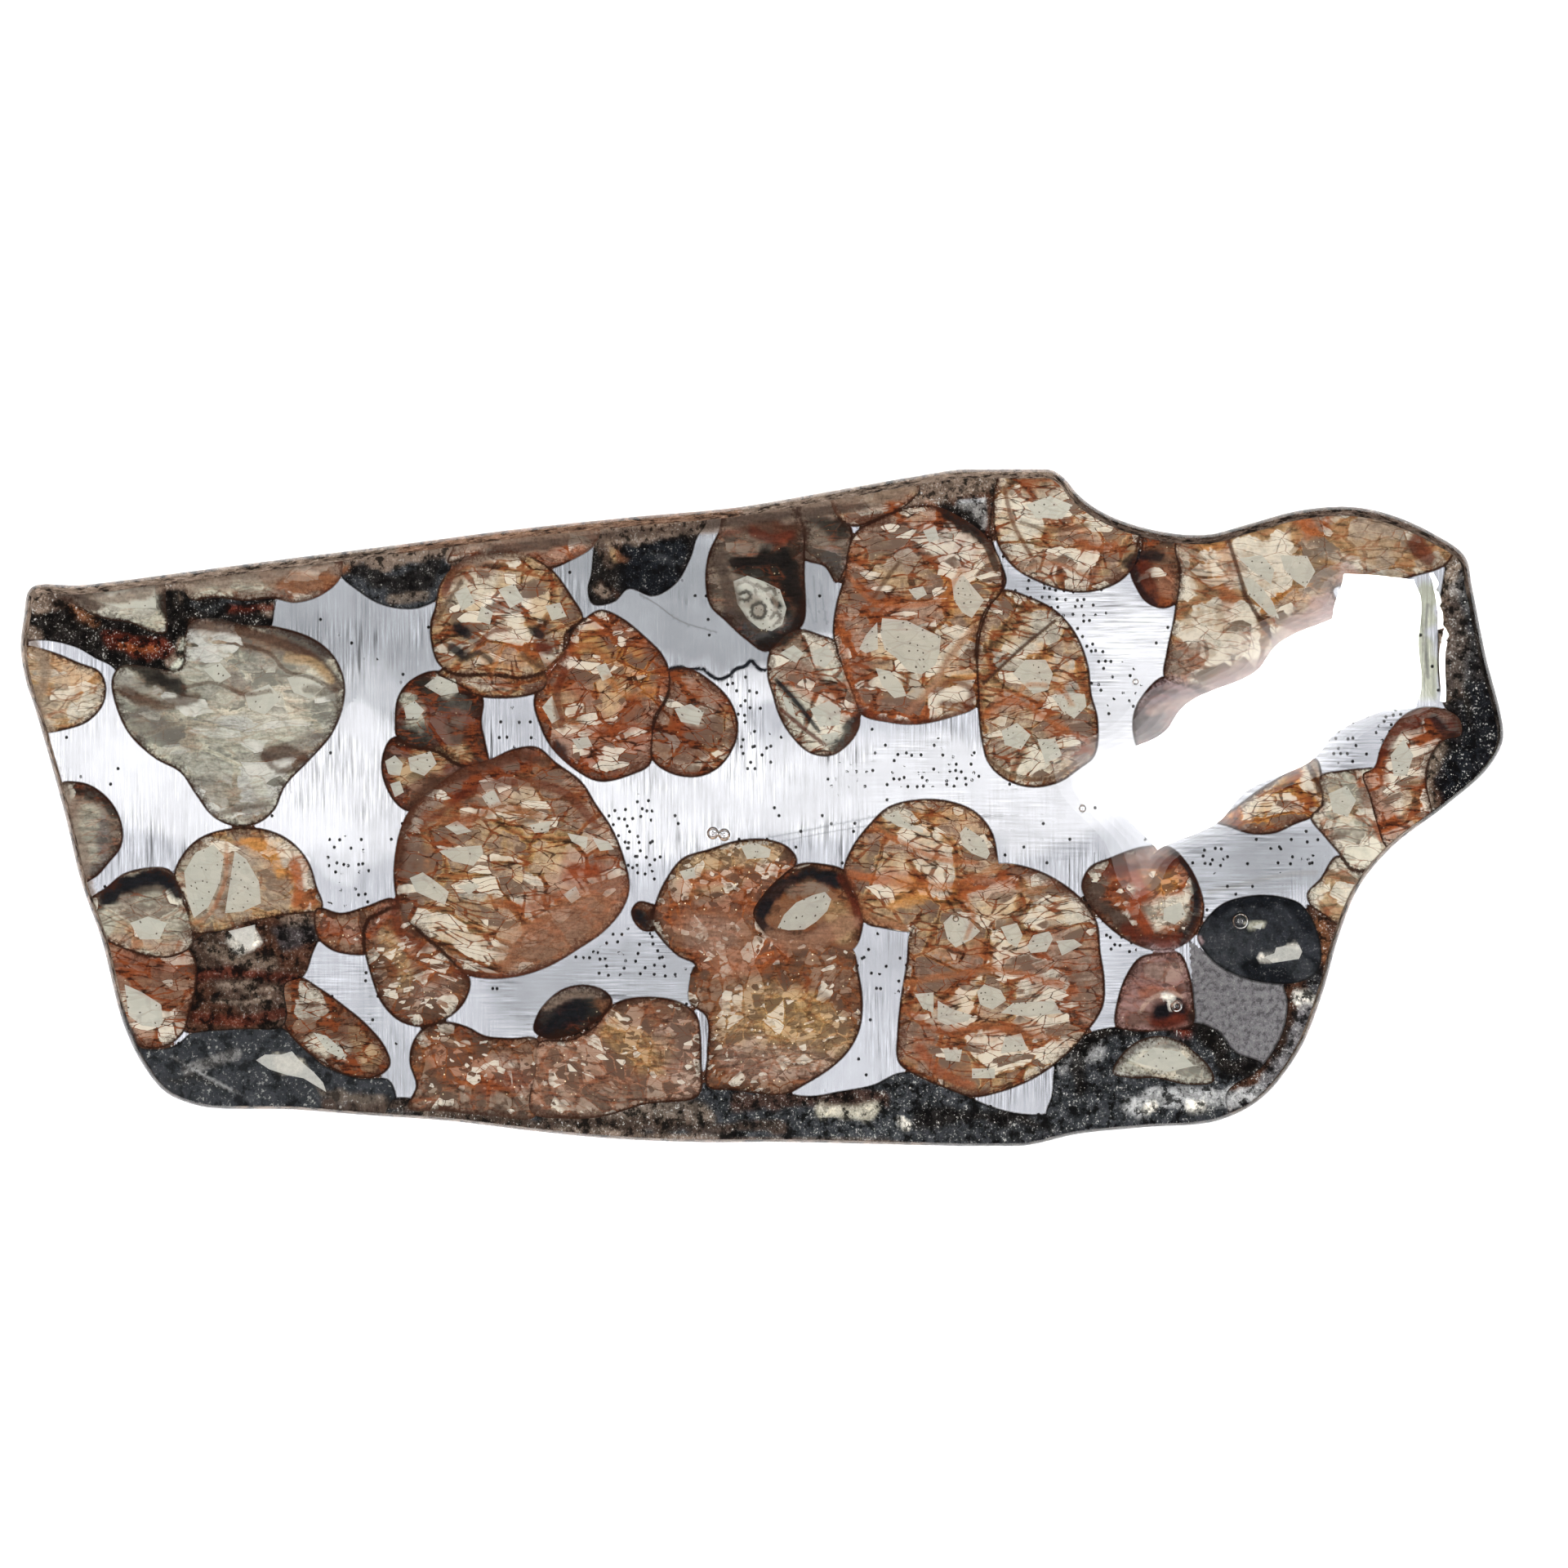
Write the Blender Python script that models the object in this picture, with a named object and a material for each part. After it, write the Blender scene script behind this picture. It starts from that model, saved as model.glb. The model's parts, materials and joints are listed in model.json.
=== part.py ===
"""A polished pallasite slice in a clear resin coat, lying on its back.

The slice is a flat slab of iron-nickel metal and olivine crystals. The resin coat is made
as two halves that close round it. X runs along the slice, Y across it, Z up.
The origin is at the middle of the slice, on the surface that it lies on.
"""

import bmesh
import bpy
from mathutils import Vector
from mathutils.geometry import delaunay_2d_cdt

# Driving dimensions, in metres
LENGTH = 0.090
SLAB_THICKNESS = 0.0026
BACK_COAT = 0.0008
FRONT_COAT = 0.0010
GAP = 0.0003
EDGE_COAT = 0.0009
EDGE_COAT_TILT = 0.0002
WELD = 0.000001
SMALLEST_METAL_AREA = 0.0000006

# Heights of the slab and of the coat's parting plane
SLAB_BOTTOM = BACK_COAT
SLAB_TOP = SLAB_BOTTOM + SLAB_THICKNESS
COAT_TOP = SLAB_TOP + FRONT_COAT
PARTING = SLAB_BOTTOM + SLAB_THICKNESS / 2

# The coat's rounded edge, as how far in from the silhouette it is at each height
BACK_EDGE = ((0.0009, 0.0), (0.00025, 0.00035), (0.0, PARTING - GAP / 2))
FRONT_EDGE = (
    (0.0, PARTING + GAP / 2),
    (0.00025, COAT_TOP - 0.0010),
    (0.00085, COAT_TOP - 0.0003),
    (0.0018, COAT_TOP),
)

# The outlines are read by eye, in pixels of the reference photograph, which looks straight down
PHOTO_LEFT, PHOTO_RIGHT = 25, 1841
PHOTO_TOP, PHOTO_BOTTOM = 574, 1404
PIXEL = LENGTH / (PHOTO_RIGHT - PHOTO_LEFT)
PHOTO_CENTRE = ((PHOTO_LEFT + PHOTO_RIGHT) / 2, (PHOTO_TOP + PHOTO_BOTTOM) / 2)

SILHOUETTE = (
    (38, 719), (100, 716), (220, 701), (357, 683), (500, 665), (620, 649), (780, 632), (900, 621),
    (1040, 597), (1120, 583), (1180, 574), (1285, 574), (1303, 585), (1320, 605), (1340, 621),
    (1375, 638), (1430, 652), (1480, 654), (1530, 641), (1590, 625), (1650, 620), (1700, 629),
    (1755, 653), (1794, 681), (1803, 720), (1820, 805), (1838, 875), (1841, 905), (1822, 941),
    (1770, 987), (1705, 1037), (1665, 1085), (1640, 1145), (1620, 1215), (1592, 1285),
    (1545, 1345), (1490, 1373), (1400, 1381), (1320, 1389), (1250, 1404), (1140, 1403),
    (960, 1399), (850, 1399), (740, 1394), (650, 1385), (550, 1373), (448, 1366), (356, 1359),
    (258, 1357), (228, 1350), (203, 1338), (176, 1306), (151, 1254), (124, 1150), (99, 1079),
    (80, 1000), (60, 927), (43, 869), (31, 832), (25, 793), (29, 756),
)

# One entry for each crystal, vein or crust: its material, and the outline of each grain in it.
# Where two outlines overlap, the one named first keeps the shared ground.
PIECES = {
    "olivine_large_left": ("olivine", (
        ((600, 930), (630, 917), (658, 915), (680, 933), (712, 957), (730, 985), (750, 1015),
         (764, 1050), (771, 1085), (764, 1110), (742, 1138), (708, 1162), (672, 1183),
         (635, 1195), (598, 1198), (570, 1192), (541, 1164), (512, 1138), (490, 1113),
         (483, 1082), (484, 1048), (492, 1012), (505, 988), (535, 962), (566, 940)),
    )),
    "olivine_round_top": ("olivine", (
        ((1041, 664), (1052, 648), (1075, 636), (1112, 621), (1145, 620), (1180, 636),
         (1207, 657), (1222, 683), (1229, 710), (1226, 726), (1206, 750), (1196, 790),
         (1198, 830), (1196, 864), (1165, 878), (1122, 887), (1085, 884), (1055, 875),
         (1044, 850), (1034, 825), (1025, 798), (1020, 775), (1024, 740), (1033, 708)),
    )),
    "olivine_twin_lower_right": ("olivine", (
        ((1222, 1058), (1262, 1063), (1298, 1080), (1325, 1102), (1343, 1130), (1347, 1165),
         (1352, 1200), (1350, 1232), (1330, 1264), (1300, 1296), (1262, 1322), (1220, 1338),
         (1190, 1343), (1162, 1334), (1120, 1316), (1100, 1300), (1099, 1262), (1103, 1222),
         (1110, 1180), (1116, 1138), (1150, 1105), (1190, 1075)),
        ((1033, 1068), (1042, 1040), (1064, 1010), (1088, 988), (1125, 979), (1162, 981),
         (1194, 994), (1214, 1018), (1221, 1048), (1222, 1075), (1200, 1110), (1150, 1138),
         (1116, 1141), (1080, 1136), (1060, 1130), (1048, 1098)),
    )),
    "olivine_spotted": ("olivine", (
        ((533, 745), (538, 718), (552, 698), (575, 683), (610, 679), (645, 680), (675, 697),
         (700, 730), (714, 758), (694, 775), (690, 800), (672, 820), (640, 830), (600, 826),
         (560, 826), (538, 814), (528, 785), (528, 760)),
        ((535, 824), (560, 816), (600, 818), (640, 822), (668, 824), (668, 842), (650, 851),
         (615, 855), (585, 852), (560, 838)),
    )),
    "olivine_rust_oval": ("olivine", (
        ((702, 770), (716, 758), (735, 747), (760, 756), (790, 780), (812, 803), (821, 830),
         (816, 856), (802, 880), (799, 912), (796, 936), (775, 948), (735, 957), (708, 945),
         (676, 916), (662, 890), (654, 856), (668, 832), (690, 800)),
    )),
    "olivine_rust_small": ("olivine", (
        ((818, 822), (842, 818), (868, 832), (892, 855), (903, 882), (901, 908), (882, 938),
         (855, 951), (822, 947), (799, 930), (797, 900), (806, 872), (818, 850)),
    )),
    "olivine_dark_pair": ("olivine", (
        ((484, 885), (487, 856), (500, 836), (528, 822), (556, 826), (580, 840), (592, 856),
         (590, 885), (596, 915), (598, 934), (566, 938), (535, 920), (505, 914), (486, 902)),
        ((480, 904), (510, 902), (540, 912), (572, 930), (570, 950), (540, 968), (520, 985),
         (500, 993), (484, 982), (470, 955), (468, 930)),
    )),
    "olivine_linked_left": ("olivine", (
        ((487, 1112), (512, 1138), (541, 1164), (562, 1184), (576, 1200), (570, 1225),
         (552, 1244), (520, 1257), (490, 1250), (468, 1228), (455, 1195), (446, 1155),
         (450, 1128), (466, 1118)),
        ((388, 1112), (418, 1118), (448, 1110), (482, 1100), (494, 1116), (470, 1135),
         (458, 1160), (450, 1168), (425, 1168), (405, 1162), (388, 1145)),
    )),
    "olivine_rust_top": ("olivine", (
        ((548, 690), (560, 668), (595, 650), (640, 645), (715, 640), (735, 650), (728, 668),
         (700, 686), (672, 696), (645, 682), (610, 678), (575, 683)),
    )),
    "olivine_pale_left": ("olivine", (
        ((226, 780), (236, 762), (262, 757), (300, 765), (340, 768), (385, 783), (410, 805),
         (422, 835), (420, 866), (406, 900), (380, 930), (350, 962), (336, 992), (316, 1008),
         (290, 1012), (262, 1000), (240, 972), (222, 946), (190, 928), (160, 900), (144, 868),
         (138, 832), (150, 815), (222, 818)),
    )),
    "olivine_amber_left": ("olivine", (
        ((214, 1073), (222, 1050), (244, 1027), (280, 1015), (322, 1015), (355, 1029),
         (378, 1055), (388, 1085), (395, 1112), (345, 1121), (296, 1132), (262, 1141),
         (238, 1142), (228, 1104)),
    )),
    "olivine_black_capped": ("olivine", (
        ((110, 1104), (132, 1086), (150, 1071), (178, 1063), (206, 1064), (220, 1080),
         (226, 1103), (236, 1132), (236, 1158), (210, 1172), (180, 1170), (150, 1160),
         (124, 1142)),
    )),
    "olivine_half_moon": ("olivine", (
        ((74, 960), (100, 958), (122, 968), (142, 990), (151, 1018), (148, 1038), (134, 1056),
         (118, 1074), (95, 1084), (80, 1040)),
    )),
    "olivine_rust_left": ("olivine", (
        ((120, 1140), (150, 1158), (190, 1170), (228, 1160), (240, 1175), (241, 1205),
         (233, 1240), (226, 1262), (206, 1280), (180, 1282), (150, 1262), (132, 1215)),
    )),
    "olivine_brown_left": ("olivine_dark", (
        ((232, 1160), (246, 1146), (272, 1138), (300, 1128), (345, 1119), (392, 1111),
         (396, 1135), (384, 1165), (372, 1195), (350, 1205), (352, 1245), (345, 1258),
         (300, 1260), (262, 1262), (226, 1262), (238, 1220), (240, 1180)),
    )),
    "olivine_oblong": ("olivine", (
        ((345, 1204), (366, 1196), (392, 1210), (420, 1230), (450, 1255), (472, 1282),
         (478, 1304), (462, 1318), (430, 1318), (400, 1304), (372, 1284), (352, 1262),
         (344, 1240)),
    )),
    "olivine_tan_left": ("olivine", (
        ((30, 792), (60, 797), (98, 812), (122, 822), (130, 838), (127, 862), (110, 882),
         (86, 892), (50, 895), (40, 875)),
    )),
    "olivine_corner": ("olivine", (
        ((70, 731), (80, 712), (150, 700), (197, 700), (204, 745), (204, 775), (186, 774),
         (160, 763), (125, 757), (98, 743)),
    )),
    "olivine_sliver_top": ("olivine", (
        ((226, 722), (228, 700), (300, 690), (416, 680), (418, 706), (395, 728), (362, 738),
         (335, 733), (300, 736), (262, 732), (236, 735)),
    )),
    "olivine_hexagon": ("olivine_dark", (
        ((864, 712), (868, 678), (880, 652), (890, 620), (925, 605), (970, 605), (978, 628),
         (985, 650), (985, 700), (983, 765), (962, 778), (938, 798), (912, 782), (888, 760),
         (870, 742)),
    )),
    "olivine_top_strip": ("olivine", (
        ((1018, 618), (1022, 590), (1070, 580), (1115, 575), (1126, 600), (1112, 618),
         (1080, 634), (1045, 645), (1026, 634)),
    )),
    "olivine_grey_top": ("olivine_dark", (
        ((972, 628), (980, 600), (1022, 590), (1030, 632), (1043, 648), (1041, 672),
         (1034, 700), (1024, 714), (1010, 694), (984, 684), (984, 650)),
    )),
    "olivine_pair_centre": ("olivine", (
        ((942, 800), (958, 780), (980, 771), (1005, 778), (1024, 786), (1027, 800),
         (1040, 830), (1052, 868), (1052, 890), (1040, 910), (1018, 925), (992, 922),
         (968, 900), (954, 876), (946, 850), (940, 828)),
    )),
    "olivine_double_right": ("olivine", (
        ((1226, 723), (1260, 731), (1295, 750), (1318, 778), (1332, 815), (1336, 850),
         (1344, 882), (1340, 925), (1320, 942), (1296, 958), (1262, 964), (1230, 954),
         (1210, 934), (1201, 902), (1196, 828), (1197, 786), (1208, 748)),
    )),
    "olivine_tan_top": ("olivine", (
        ((1220, 590), (1240, 560), (1300, 560), (1330, 590), (1345, 615), (1375, 635),
         (1396, 650), (1394, 665), (1390, 688), (1375, 709), (1345, 723), (1312, 725),
         (1275, 714), (1244, 697), (1224, 672), (1216, 640)),
    )),
    "olivine_great_right": ("olivine", (
        ((1438, 668), (1465, 645), (1500, 640), (1540, 625), (1590, 612), (1650, 605),
         (1700, 615), (1745, 636), (1780, 664), (1772, 690), (1730, 706), (1690, 715),
         (1650, 716), (1632, 722), (1641, 748), (1632, 775), (1606, 795), (1578, 800),
         (1566, 826), (1530, 848), (1498, 856), (1465, 843), (1426, 830), (1428, 800),
         (1436, 762), (1440, 735), (1444, 700)),
    )),
    "olivine_violet_right": ("olivine", (
        ((1426, 828), (1465, 842), (1500, 852), (1525, 850), (1500, 868), (1462, 886),
         (1420, 906), (1398, 924), (1388, 902), (1388, 874), (1400, 850)),
    )),
    "olivine_brown_small": ("olivine_dark", (
        ((1384, 700), (1394, 686), (1398, 660), (1400, 636), (1442, 640), (1444, 690),
         (1443, 735), (1425, 745), (1404, 738), (1392, 722)),
    )),
    "olivine_crescent_right": ("olivine", (
        ((1682, 940), (1690, 916), (1700, 897), (1716, 878), (1738, 867), (1765, 868),
         (1786, 880), (1788, 900), (1768, 906), (1752, 926), (1746, 955), (1750, 1000),
         (1722, 1022), (1696, 1036), (1684, 1005), (1676, 975), (1668, 948)),
    )),
    "olivine_pale_right": ("olivine", (
        ((1616, 950), (1640, 944), (1668, 941), (1684, 942), (1684, 975), (1692, 1005),
         (1704, 1040), (1685, 1060), (1655, 1064), (1640, 1046), (1622, 1025), (1604, 1000),
         (1618, 985)),
        ((1636, 1048), (1656, 1056), (1680, 1064), (1660, 1095), (1650, 1140), (1622, 1122),
         (1604, 1108), (1600, 1094), (1616, 1076)),
    )),
    "olivine_amber_right": ("olivine", (
        ((1484, 1004), (1510, 990), (1540, 968), (1572, 948), (1600, 930), (1612, 930),
         (1619, 955), (1621, 978), (1608, 999), (1585, 1009), (1560, 1020), (1532, 1021),
         (1506, 1013)),
    )),
    "olivine_dark_oval": ("olivine_dark", (
        ((1466, 1148), (1476, 1126), (1498, 1106), (1530, 1097), (1562, 1097), (1592, 1107),
         (1608, 1130), (1616, 1165), (1610, 1190), (1588, 1203), (1550, 1203), (1515, 1194),
         (1486, 1177)),
    )),
    "olivine_brown_round": ("olivine", (
        ((1324, 1085), (1334, 1062), (1360, 1050), (1398, 1037), (1432, 1037), (1454, 1058),
         (1468, 1085), (1474, 1115), (1465, 1142), (1442, 1160), (1412, 1163), (1378, 1150),
         (1350, 1128), (1334, 1108)),
    )),
    "olivine_rose": ("olivine", (
        ((1396, 1172), (1420, 1167), (1444, 1167), (1456, 1192), (1461, 1225), (1460, 1254),
         (1425, 1262), (1385, 1262), (1366, 1256), (1368, 1225), (1380, 1192)),
    )),
    "olivine_pale_lower_right": ("olivine", (
        ((1362, 1314), (1372, 1292), (1392, 1275), (1418, 1268), (1445, 1275), (1465, 1290),
         (1482, 1308), (1486, 1324), (1455, 1328), (1415, 1320), (1385, 1320)),
    )),
    "olivine_hooked": ("olivine_dark", (
        ((922, 1118), (934, 1096), (955, 1074), (978, 1058), (1008, 1058), (1034, 1066),
         (1042, 1088), (1054, 1112), (1056, 1136), (1044, 1162), (1010, 1156), (970, 1150),
         (944, 1148), (930, 1134)),
    )),
    "olivine_body_centre": ("olivine", (
        ((798, 1130), (804, 1102), (816, 1076), (836, 1051), (868, 1040), (905, 1029),
         (940, 1028), (966, 1038), (976, 1055), (956, 1082), (934, 1108), (935, 1140),
         (960, 1160), (940, 1200), (880, 1215), (850, 1205), (852, 1182), (830, 1170),
         (810, 1150)),
        ((852, 1182), (872, 1190), (930, 1146), (985, 1146), (1042, 1160), (1051, 1190),
         (1056, 1225), (1053, 1258), (1040, 1285), (1018, 1307), (985, 1328), (960, 1340),
         (900, 1335), (866, 1330), (866, 1290), (865, 1245), (845, 1228), (844, 1206)),
        ((773, 1116), (782, 1104), (796, 1106), (808, 1112), (808, 1136), (790, 1140),
         (779, 1132)),
    )),
    "olivine_dark_lens": ("olivine_dark", (
        ((654, 1262), (658, 1243), (672, 1224), (692, 1210), (718, 1206), (742, 1214),
         (750, 1226), (740, 1242), (722, 1256), (700, 1267), (672, 1272)),
    )),
    "olivine_golden_lower": ("olivine", (
        ((748, 1232), (768, 1223), (805, 1221), (835, 1228), (853, 1243), (858, 1268),
         (859, 1300), (859, 1335), (850, 1345), (790, 1352), (740, 1366), (690, 1368),
         (650, 1360), (655, 1310), (660, 1276), (700, 1272), (728, 1256)),
    )),
    "olivine_brown_lower": ("olivine", (
        ((502, 1300), (506, 1276), (520, 1258), (546, 1251), (572, 1257), (594, 1268),
         (625, 1271), (658, 1272), (664, 1300), (658, 1340), (655, 1366), (600, 1364),
         (545, 1358), (500, 1354), (510, 1330)),
    )),
    "vein_upper_left": ("crust", (
        ((20, 700), (72, 728), (98, 742), (122, 754), (160, 762), (188, 772), (206, 770),
         (228, 780), (222, 818), (200, 823), (178, 832), (160, 855), (140, 818), (118, 806),
         (95, 793), (58, 784), (10, 784)),
        ((200, 690), (228, 695), (232, 733), (262, 730), (300, 734), (336, 733), (336, 748),
         (330, 770), (300, 772), (278, 762), (250, 757), (232, 764), (226, 800), (200, 800),
         (203, 740)),
    )),
    "inclusion_top_left": ("inclusion", (
        ((416, 702), (420, 670), (470, 660), (540, 655), (556, 672), (550, 703), (540, 730),
         (515, 744), (488, 745), (462, 738), (440, 724)),
    )),
    "inclusion_top": ("inclusion", (
        ((727, 676), (735, 640), (775, 630), (860, 620), (866, 640), (853, 660), (846, 682),
         (828, 714), (800, 730), (770, 721), (752, 737), (726, 740), (720, 722), (724, 704)),
    )),
    "crust_top": ("crust", (
        ((1110, 575), (1150, 560), (1228, 555), (1228, 592), (1218, 612), (1213, 640),
         (1216, 665), (1226, 690), (1232, 712), (1226, 724), (1215, 690), (1200, 658),
         (1170, 634), (1140, 622), (1108, 620), (1122, 602)),
    )),
    "crust_right": ("crust", (
        ((1770, 676), (1786, 660), (1820, 700), (1840, 800), (1860, 885), (1860, 915),
         (1835, 960), (1782, 1005), (1752, 1020), (1744, 990), (1746, 950), (1752, 925),
         (1770, 905), (1788, 900), (1786, 878), (1770, 868), (1762, 840), (1760, 790),
         (1762, 740), (1768, 700)),
    )),
    "crust_lower_right": ("crust", (
        ((1600, 1108), (1622, 1118), (1640, 1125), (1665, 1140), (1640, 1220), (1612, 1295),
         (1560, 1362), (1520, 1385), (1500, 1340), (1545, 1304), (1570, 1262), (1576, 1226),
         (1572, 1203), (1606, 1192), (1614, 1160), (1606, 1128)),
    )),
    "crust_bottom": ("crust", (
        ((1288, 1340), (1292, 1304), (1304, 1282), (1330, 1266), (1362, 1258), (1400, 1260),
         (1460, 1252), (1490, 1262), (1512, 1288), (1545, 1302), (1546, 1316), (1512, 1345),
         (1530, 1385), (1400, 1400), (1310, 1402), (1280, 1372)),
        ((480, 1346), (540, 1352), (600, 1358), (660, 1362), (715, 1364), (745, 1356),
         (775, 1346), (830, 1336), (870, 1324), (900, 1328), (950, 1336), (990, 1342),
         (1030, 1336), (1070, 1328), (1100, 1314), (1150, 1314), (1165, 1330), (1190, 1345),
         (1240, 1362), (1285, 1362), (1310, 1342), (1330, 1372), (1330, 1402), (1300, 1420),
         (480, 1420)),
    )),
    "crust_corner": ("crust", (
        ((130, 1250), (165, 1278), (190, 1284), (215, 1280), (240, 1262), (290, 1256),
         (345, 1258), (372, 1282), (400, 1306), (440, 1320), (476, 1322), (486, 1345),
         (484, 1385), (400, 1385), (220, 1375), (140, 1320)),
    )),
}

# Each stretch of metal between the crystals, with a point that lies in it
METAL = {
    "metal_main": (1100, 960),
    "metal_left": (450, 800),
    "metal_far_left": (211, 1005),
    "metal_sliver": (998, 735),
    "metal_pillar": (1075, 1200),
    "metal_below_twin": (1262, 1348),
    "metal_beside_rose": (1368, 1169),
    "metal_lower_left": (430, 1205),
    "metal_grey_right": (1520, 1240),
}

# Base colour, metallic value and roughness of each material
MATERIALS = {
    "metal": ((0.62, 0.62, 0.65), 1.0, 0.30),
    "olivine": ((0.45, 0.30, 0.16), 0.0, 0.25),
    "olivine_dark": ((0.10, 0.08, 0.07), 0.0, 0.25),
    "inclusion": ((0.04, 0.04, 0.05), 0.3, 0.40),
    "crust": ((0.08, 0.07, 0.06), 0.0, 0.55),
    "resin": ((0.90, 0.89, 0.86), 0.0, 0.03),
}

SMOOTHING_PASSES = 3
MITRE_LIMIT = 0.35


def place(point):
    """A point of the photograph, as metres from the origin."""
    x, y = point
    return Vector(((x - PHOTO_CENTRE[0]) * PIXEL, (PHOTO_CENTRE[1] - y) * PIXEL))


def signed_area(points):
    return sum(a.cross(b) for a, b in zip(points, points[1:] + points[:1])) / 2


def outline(pixels):
    """A closed outline in metres, running anticlockwise."""
    points = [place(p) for p in pixels]
    return points if signed_area(points) > 0 else points[::-1]


def edge_normals(points):
    """The outward normal of the edge that leaves each point."""
    edges = [b - a for a, b in zip(points, points[1:] + points[:1])]
    return [Vector((e.y, -e.x)).normalized() for e in edges]


def grown(points, distance):
    """The outline moved outwards by a distance, with its corners kept sharp."""
    normals = edge_normals(points)
    moved = []
    for i, point in enumerate(points):
        both = normals[i - 1] + normals[i]
        reach = max(MITRE_LIMIT, 1 + normals[i - 1].dot(normals[i]))
        moved.append(point + both * (distance / reach))
    return moved


def inset(points, distance, tilt=0.0):
    """The outline moved inwards along smoothed normals, by more on its upper side."""
    sides = edge_normals(points)
    normals = [(sides[i - 1] + sides[i]).normalized() for i in range(len(points))]
    for _ in range(SMOOTHING_PASSES):
        after = normals[1:] + normals[:1]
        before = normals[-1:] + normals[:-1]
        normals = [(a + 2 * n + b).normalized() for a, n, b in zip(before, normals, after)]
    return [p - n * (distance + tilt * n.y) for p, n in zip(points, normals)]


SILHOUETTE_OUTLINE = outline(SILHOUETTE)
SLAB_OUTLINE = inset(SILHOUETTE_OUTLINE, EDGE_COAT, EDGE_COAT_TILT)
POCKET_OUTLINE = inset(SILHOUETTE_OUTLINE, EDGE_COAT - GAP, EDGE_COAT_TILT)


def parted(loops):
    """Cuts the plane along every loop. Gives the points, the triangles, and the loops round each."""
    points = [p for loop in loops for p in loop]
    faces = []
    start = 0
    for loop in loops:
        faces.append(list(range(start, start + len(loop))))
        start += len(loop)
    verts, _, triangles, _, _, sources = delaunay_2d_cdt(points, [], faces, 1, WELD)
    return verts, triangles, [set(s) for s in sources]


def groups(triangles):
    """The triangles sorted into stretches that share edges."""
    by_edge = {}
    for number, triangle in enumerate(triangles):
        for a, b in zip(triangle, triangle[1:] + triangle[:1]):
            by_edge.setdefault(frozenset((a, b)), []).append(number)
    near = {number: set() for number in range(len(triangles))}
    for numbers in by_edge.values():
        for number in numbers:
            near[number].update(numbers)
    found = []
    while near:
        todo = [min(near)]
        stretch = []
        while todo:
            number = todo.pop()
            if number in near:
                stretch.append(number)
                todo.extend(near.pop(number))
        found.append([triangles[number] for number in stretch])
    return found


def area_of(points, triangles):
    return sum(signed_area([points[i] for i in triangle]) for triangle in triangles)


def holds(points, triangles, spot):
    """Whether a spot lies in one of the triangles."""
    for triangle in triangles:
        a, b, c = (points[i] for i in triangle)
        if min((b - a).cross(spot - a), (c - b).cross(spot - b), (a - c).cross(spot - c)) >= 0:
            return True
    return False


def material(name):
    colour, metallic, roughness = MATERIALS[name]
    made = bpy.data.materials.get(name)
    if made is None:
        made = bpy.data.materials.new(name)
        made.use_nodes = True
        shader = made.node_tree.nodes["Principled BSDF"]
        shader.inputs["Base Color"].default_value = (*colour, 1.0)
        shader.inputs["Metallic"].default_value = metallic
        shader.inputs["Roughness"].default_value = roughness
        made.diffuse_color = (*colour, 1.0)
    return made


def finish(name, mesh_data, middle, material_name):
    """Turns a bmesh made round a middle point into a named object that stands there."""
    bmesh.ops.recalc_face_normals(mesh_data, faces=mesh_data.faces)
    mesh = bpy.data.meshes.new(name)
    mesh_data.to_mesh(mesh)
    mesh_data.free()
    mesh.materials.append(material(material_name))
    made = bpy.data.objects.new(name, mesh)
    made.location = middle
    bpy.context.scene.collection.objects.link(made)


def slab_piece(name, material_name, points, triangles):
    """A flat stretch of the slab: its triangles joined into faces, then extruded upwards."""
    used = sorted({i for triangle in triangles for i in triangle})
    centre = sum((points[i] for i in used), Vector((0.0, 0.0))) / len(used)
    shape = bmesh.new()
    corners = {i: shape.verts.new((*(points[i] - centre), 0.0)) for i in used}
    for triangle in triangles:
        shape.faces.new([corners[i] for i in triangle])
    bmesh.ops.dissolve_limit(
        shape, angle_limit=WELD, verts=shape.verts, edges=shape.edges, use_dissolve_boundaries=False
    )
    made = bmesh.ops.extrude_face_region(shape, geom=shape.faces[:])
    raised = [part for part in made["geom"] if isinstance(part, bmesh.types.BMVert)]
    bmesh.ops.translate(shape, verts=raised, vec=(0.0, 0.0, SLAB_THICKNESS))
    finish(name, shape, (*centre, SLAB_BOTTOM), material_name)


def build_slab():
    """Cuts the slab into its crystals, crusts and metal, with a gap between neighbours."""
    taken = []
    for name, (material_name, grains) in PIECES.items():
        own = [grown(outline(grain), -GAP / 2) for grain in grains]
        loops = [SLAB_OUTLINE, *own, *taken]
        points, triangles, sources = parted(loops)
        own_numbers = set(range(1, 1 + len(own)))
        taken_numbers = set(range(1 + len(own), len(loops)))
        kept = [
            triangle
            for triangle, source in zip(triangles, sources)
            if 0 in source and source & own_numbers and not source & taken_numbers
        ]
        largest = max(groups(kept), key=lambda stretch: area_of(points, stretch))
        slab_piece(name, material_name, points, largest)
        taken += [grown(outline(grain), GAP / 2) for grain in grains]

    points, triangles, sources = parted([SLAB_OUTLINE, *taken])
    bare = [triangle for triangle, source in zip(triangles, sources) if source == {0}]
    stretches = [s for s in groups(bare) if area_of(points, s) > SMALLEST_METAL_AREA]
    for name, spot in METAL.items():
        stretch = next(s for s in stretches if holds(points, s, place(spot)))
        slab_piece(name, "metal", points, stretch)


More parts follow.
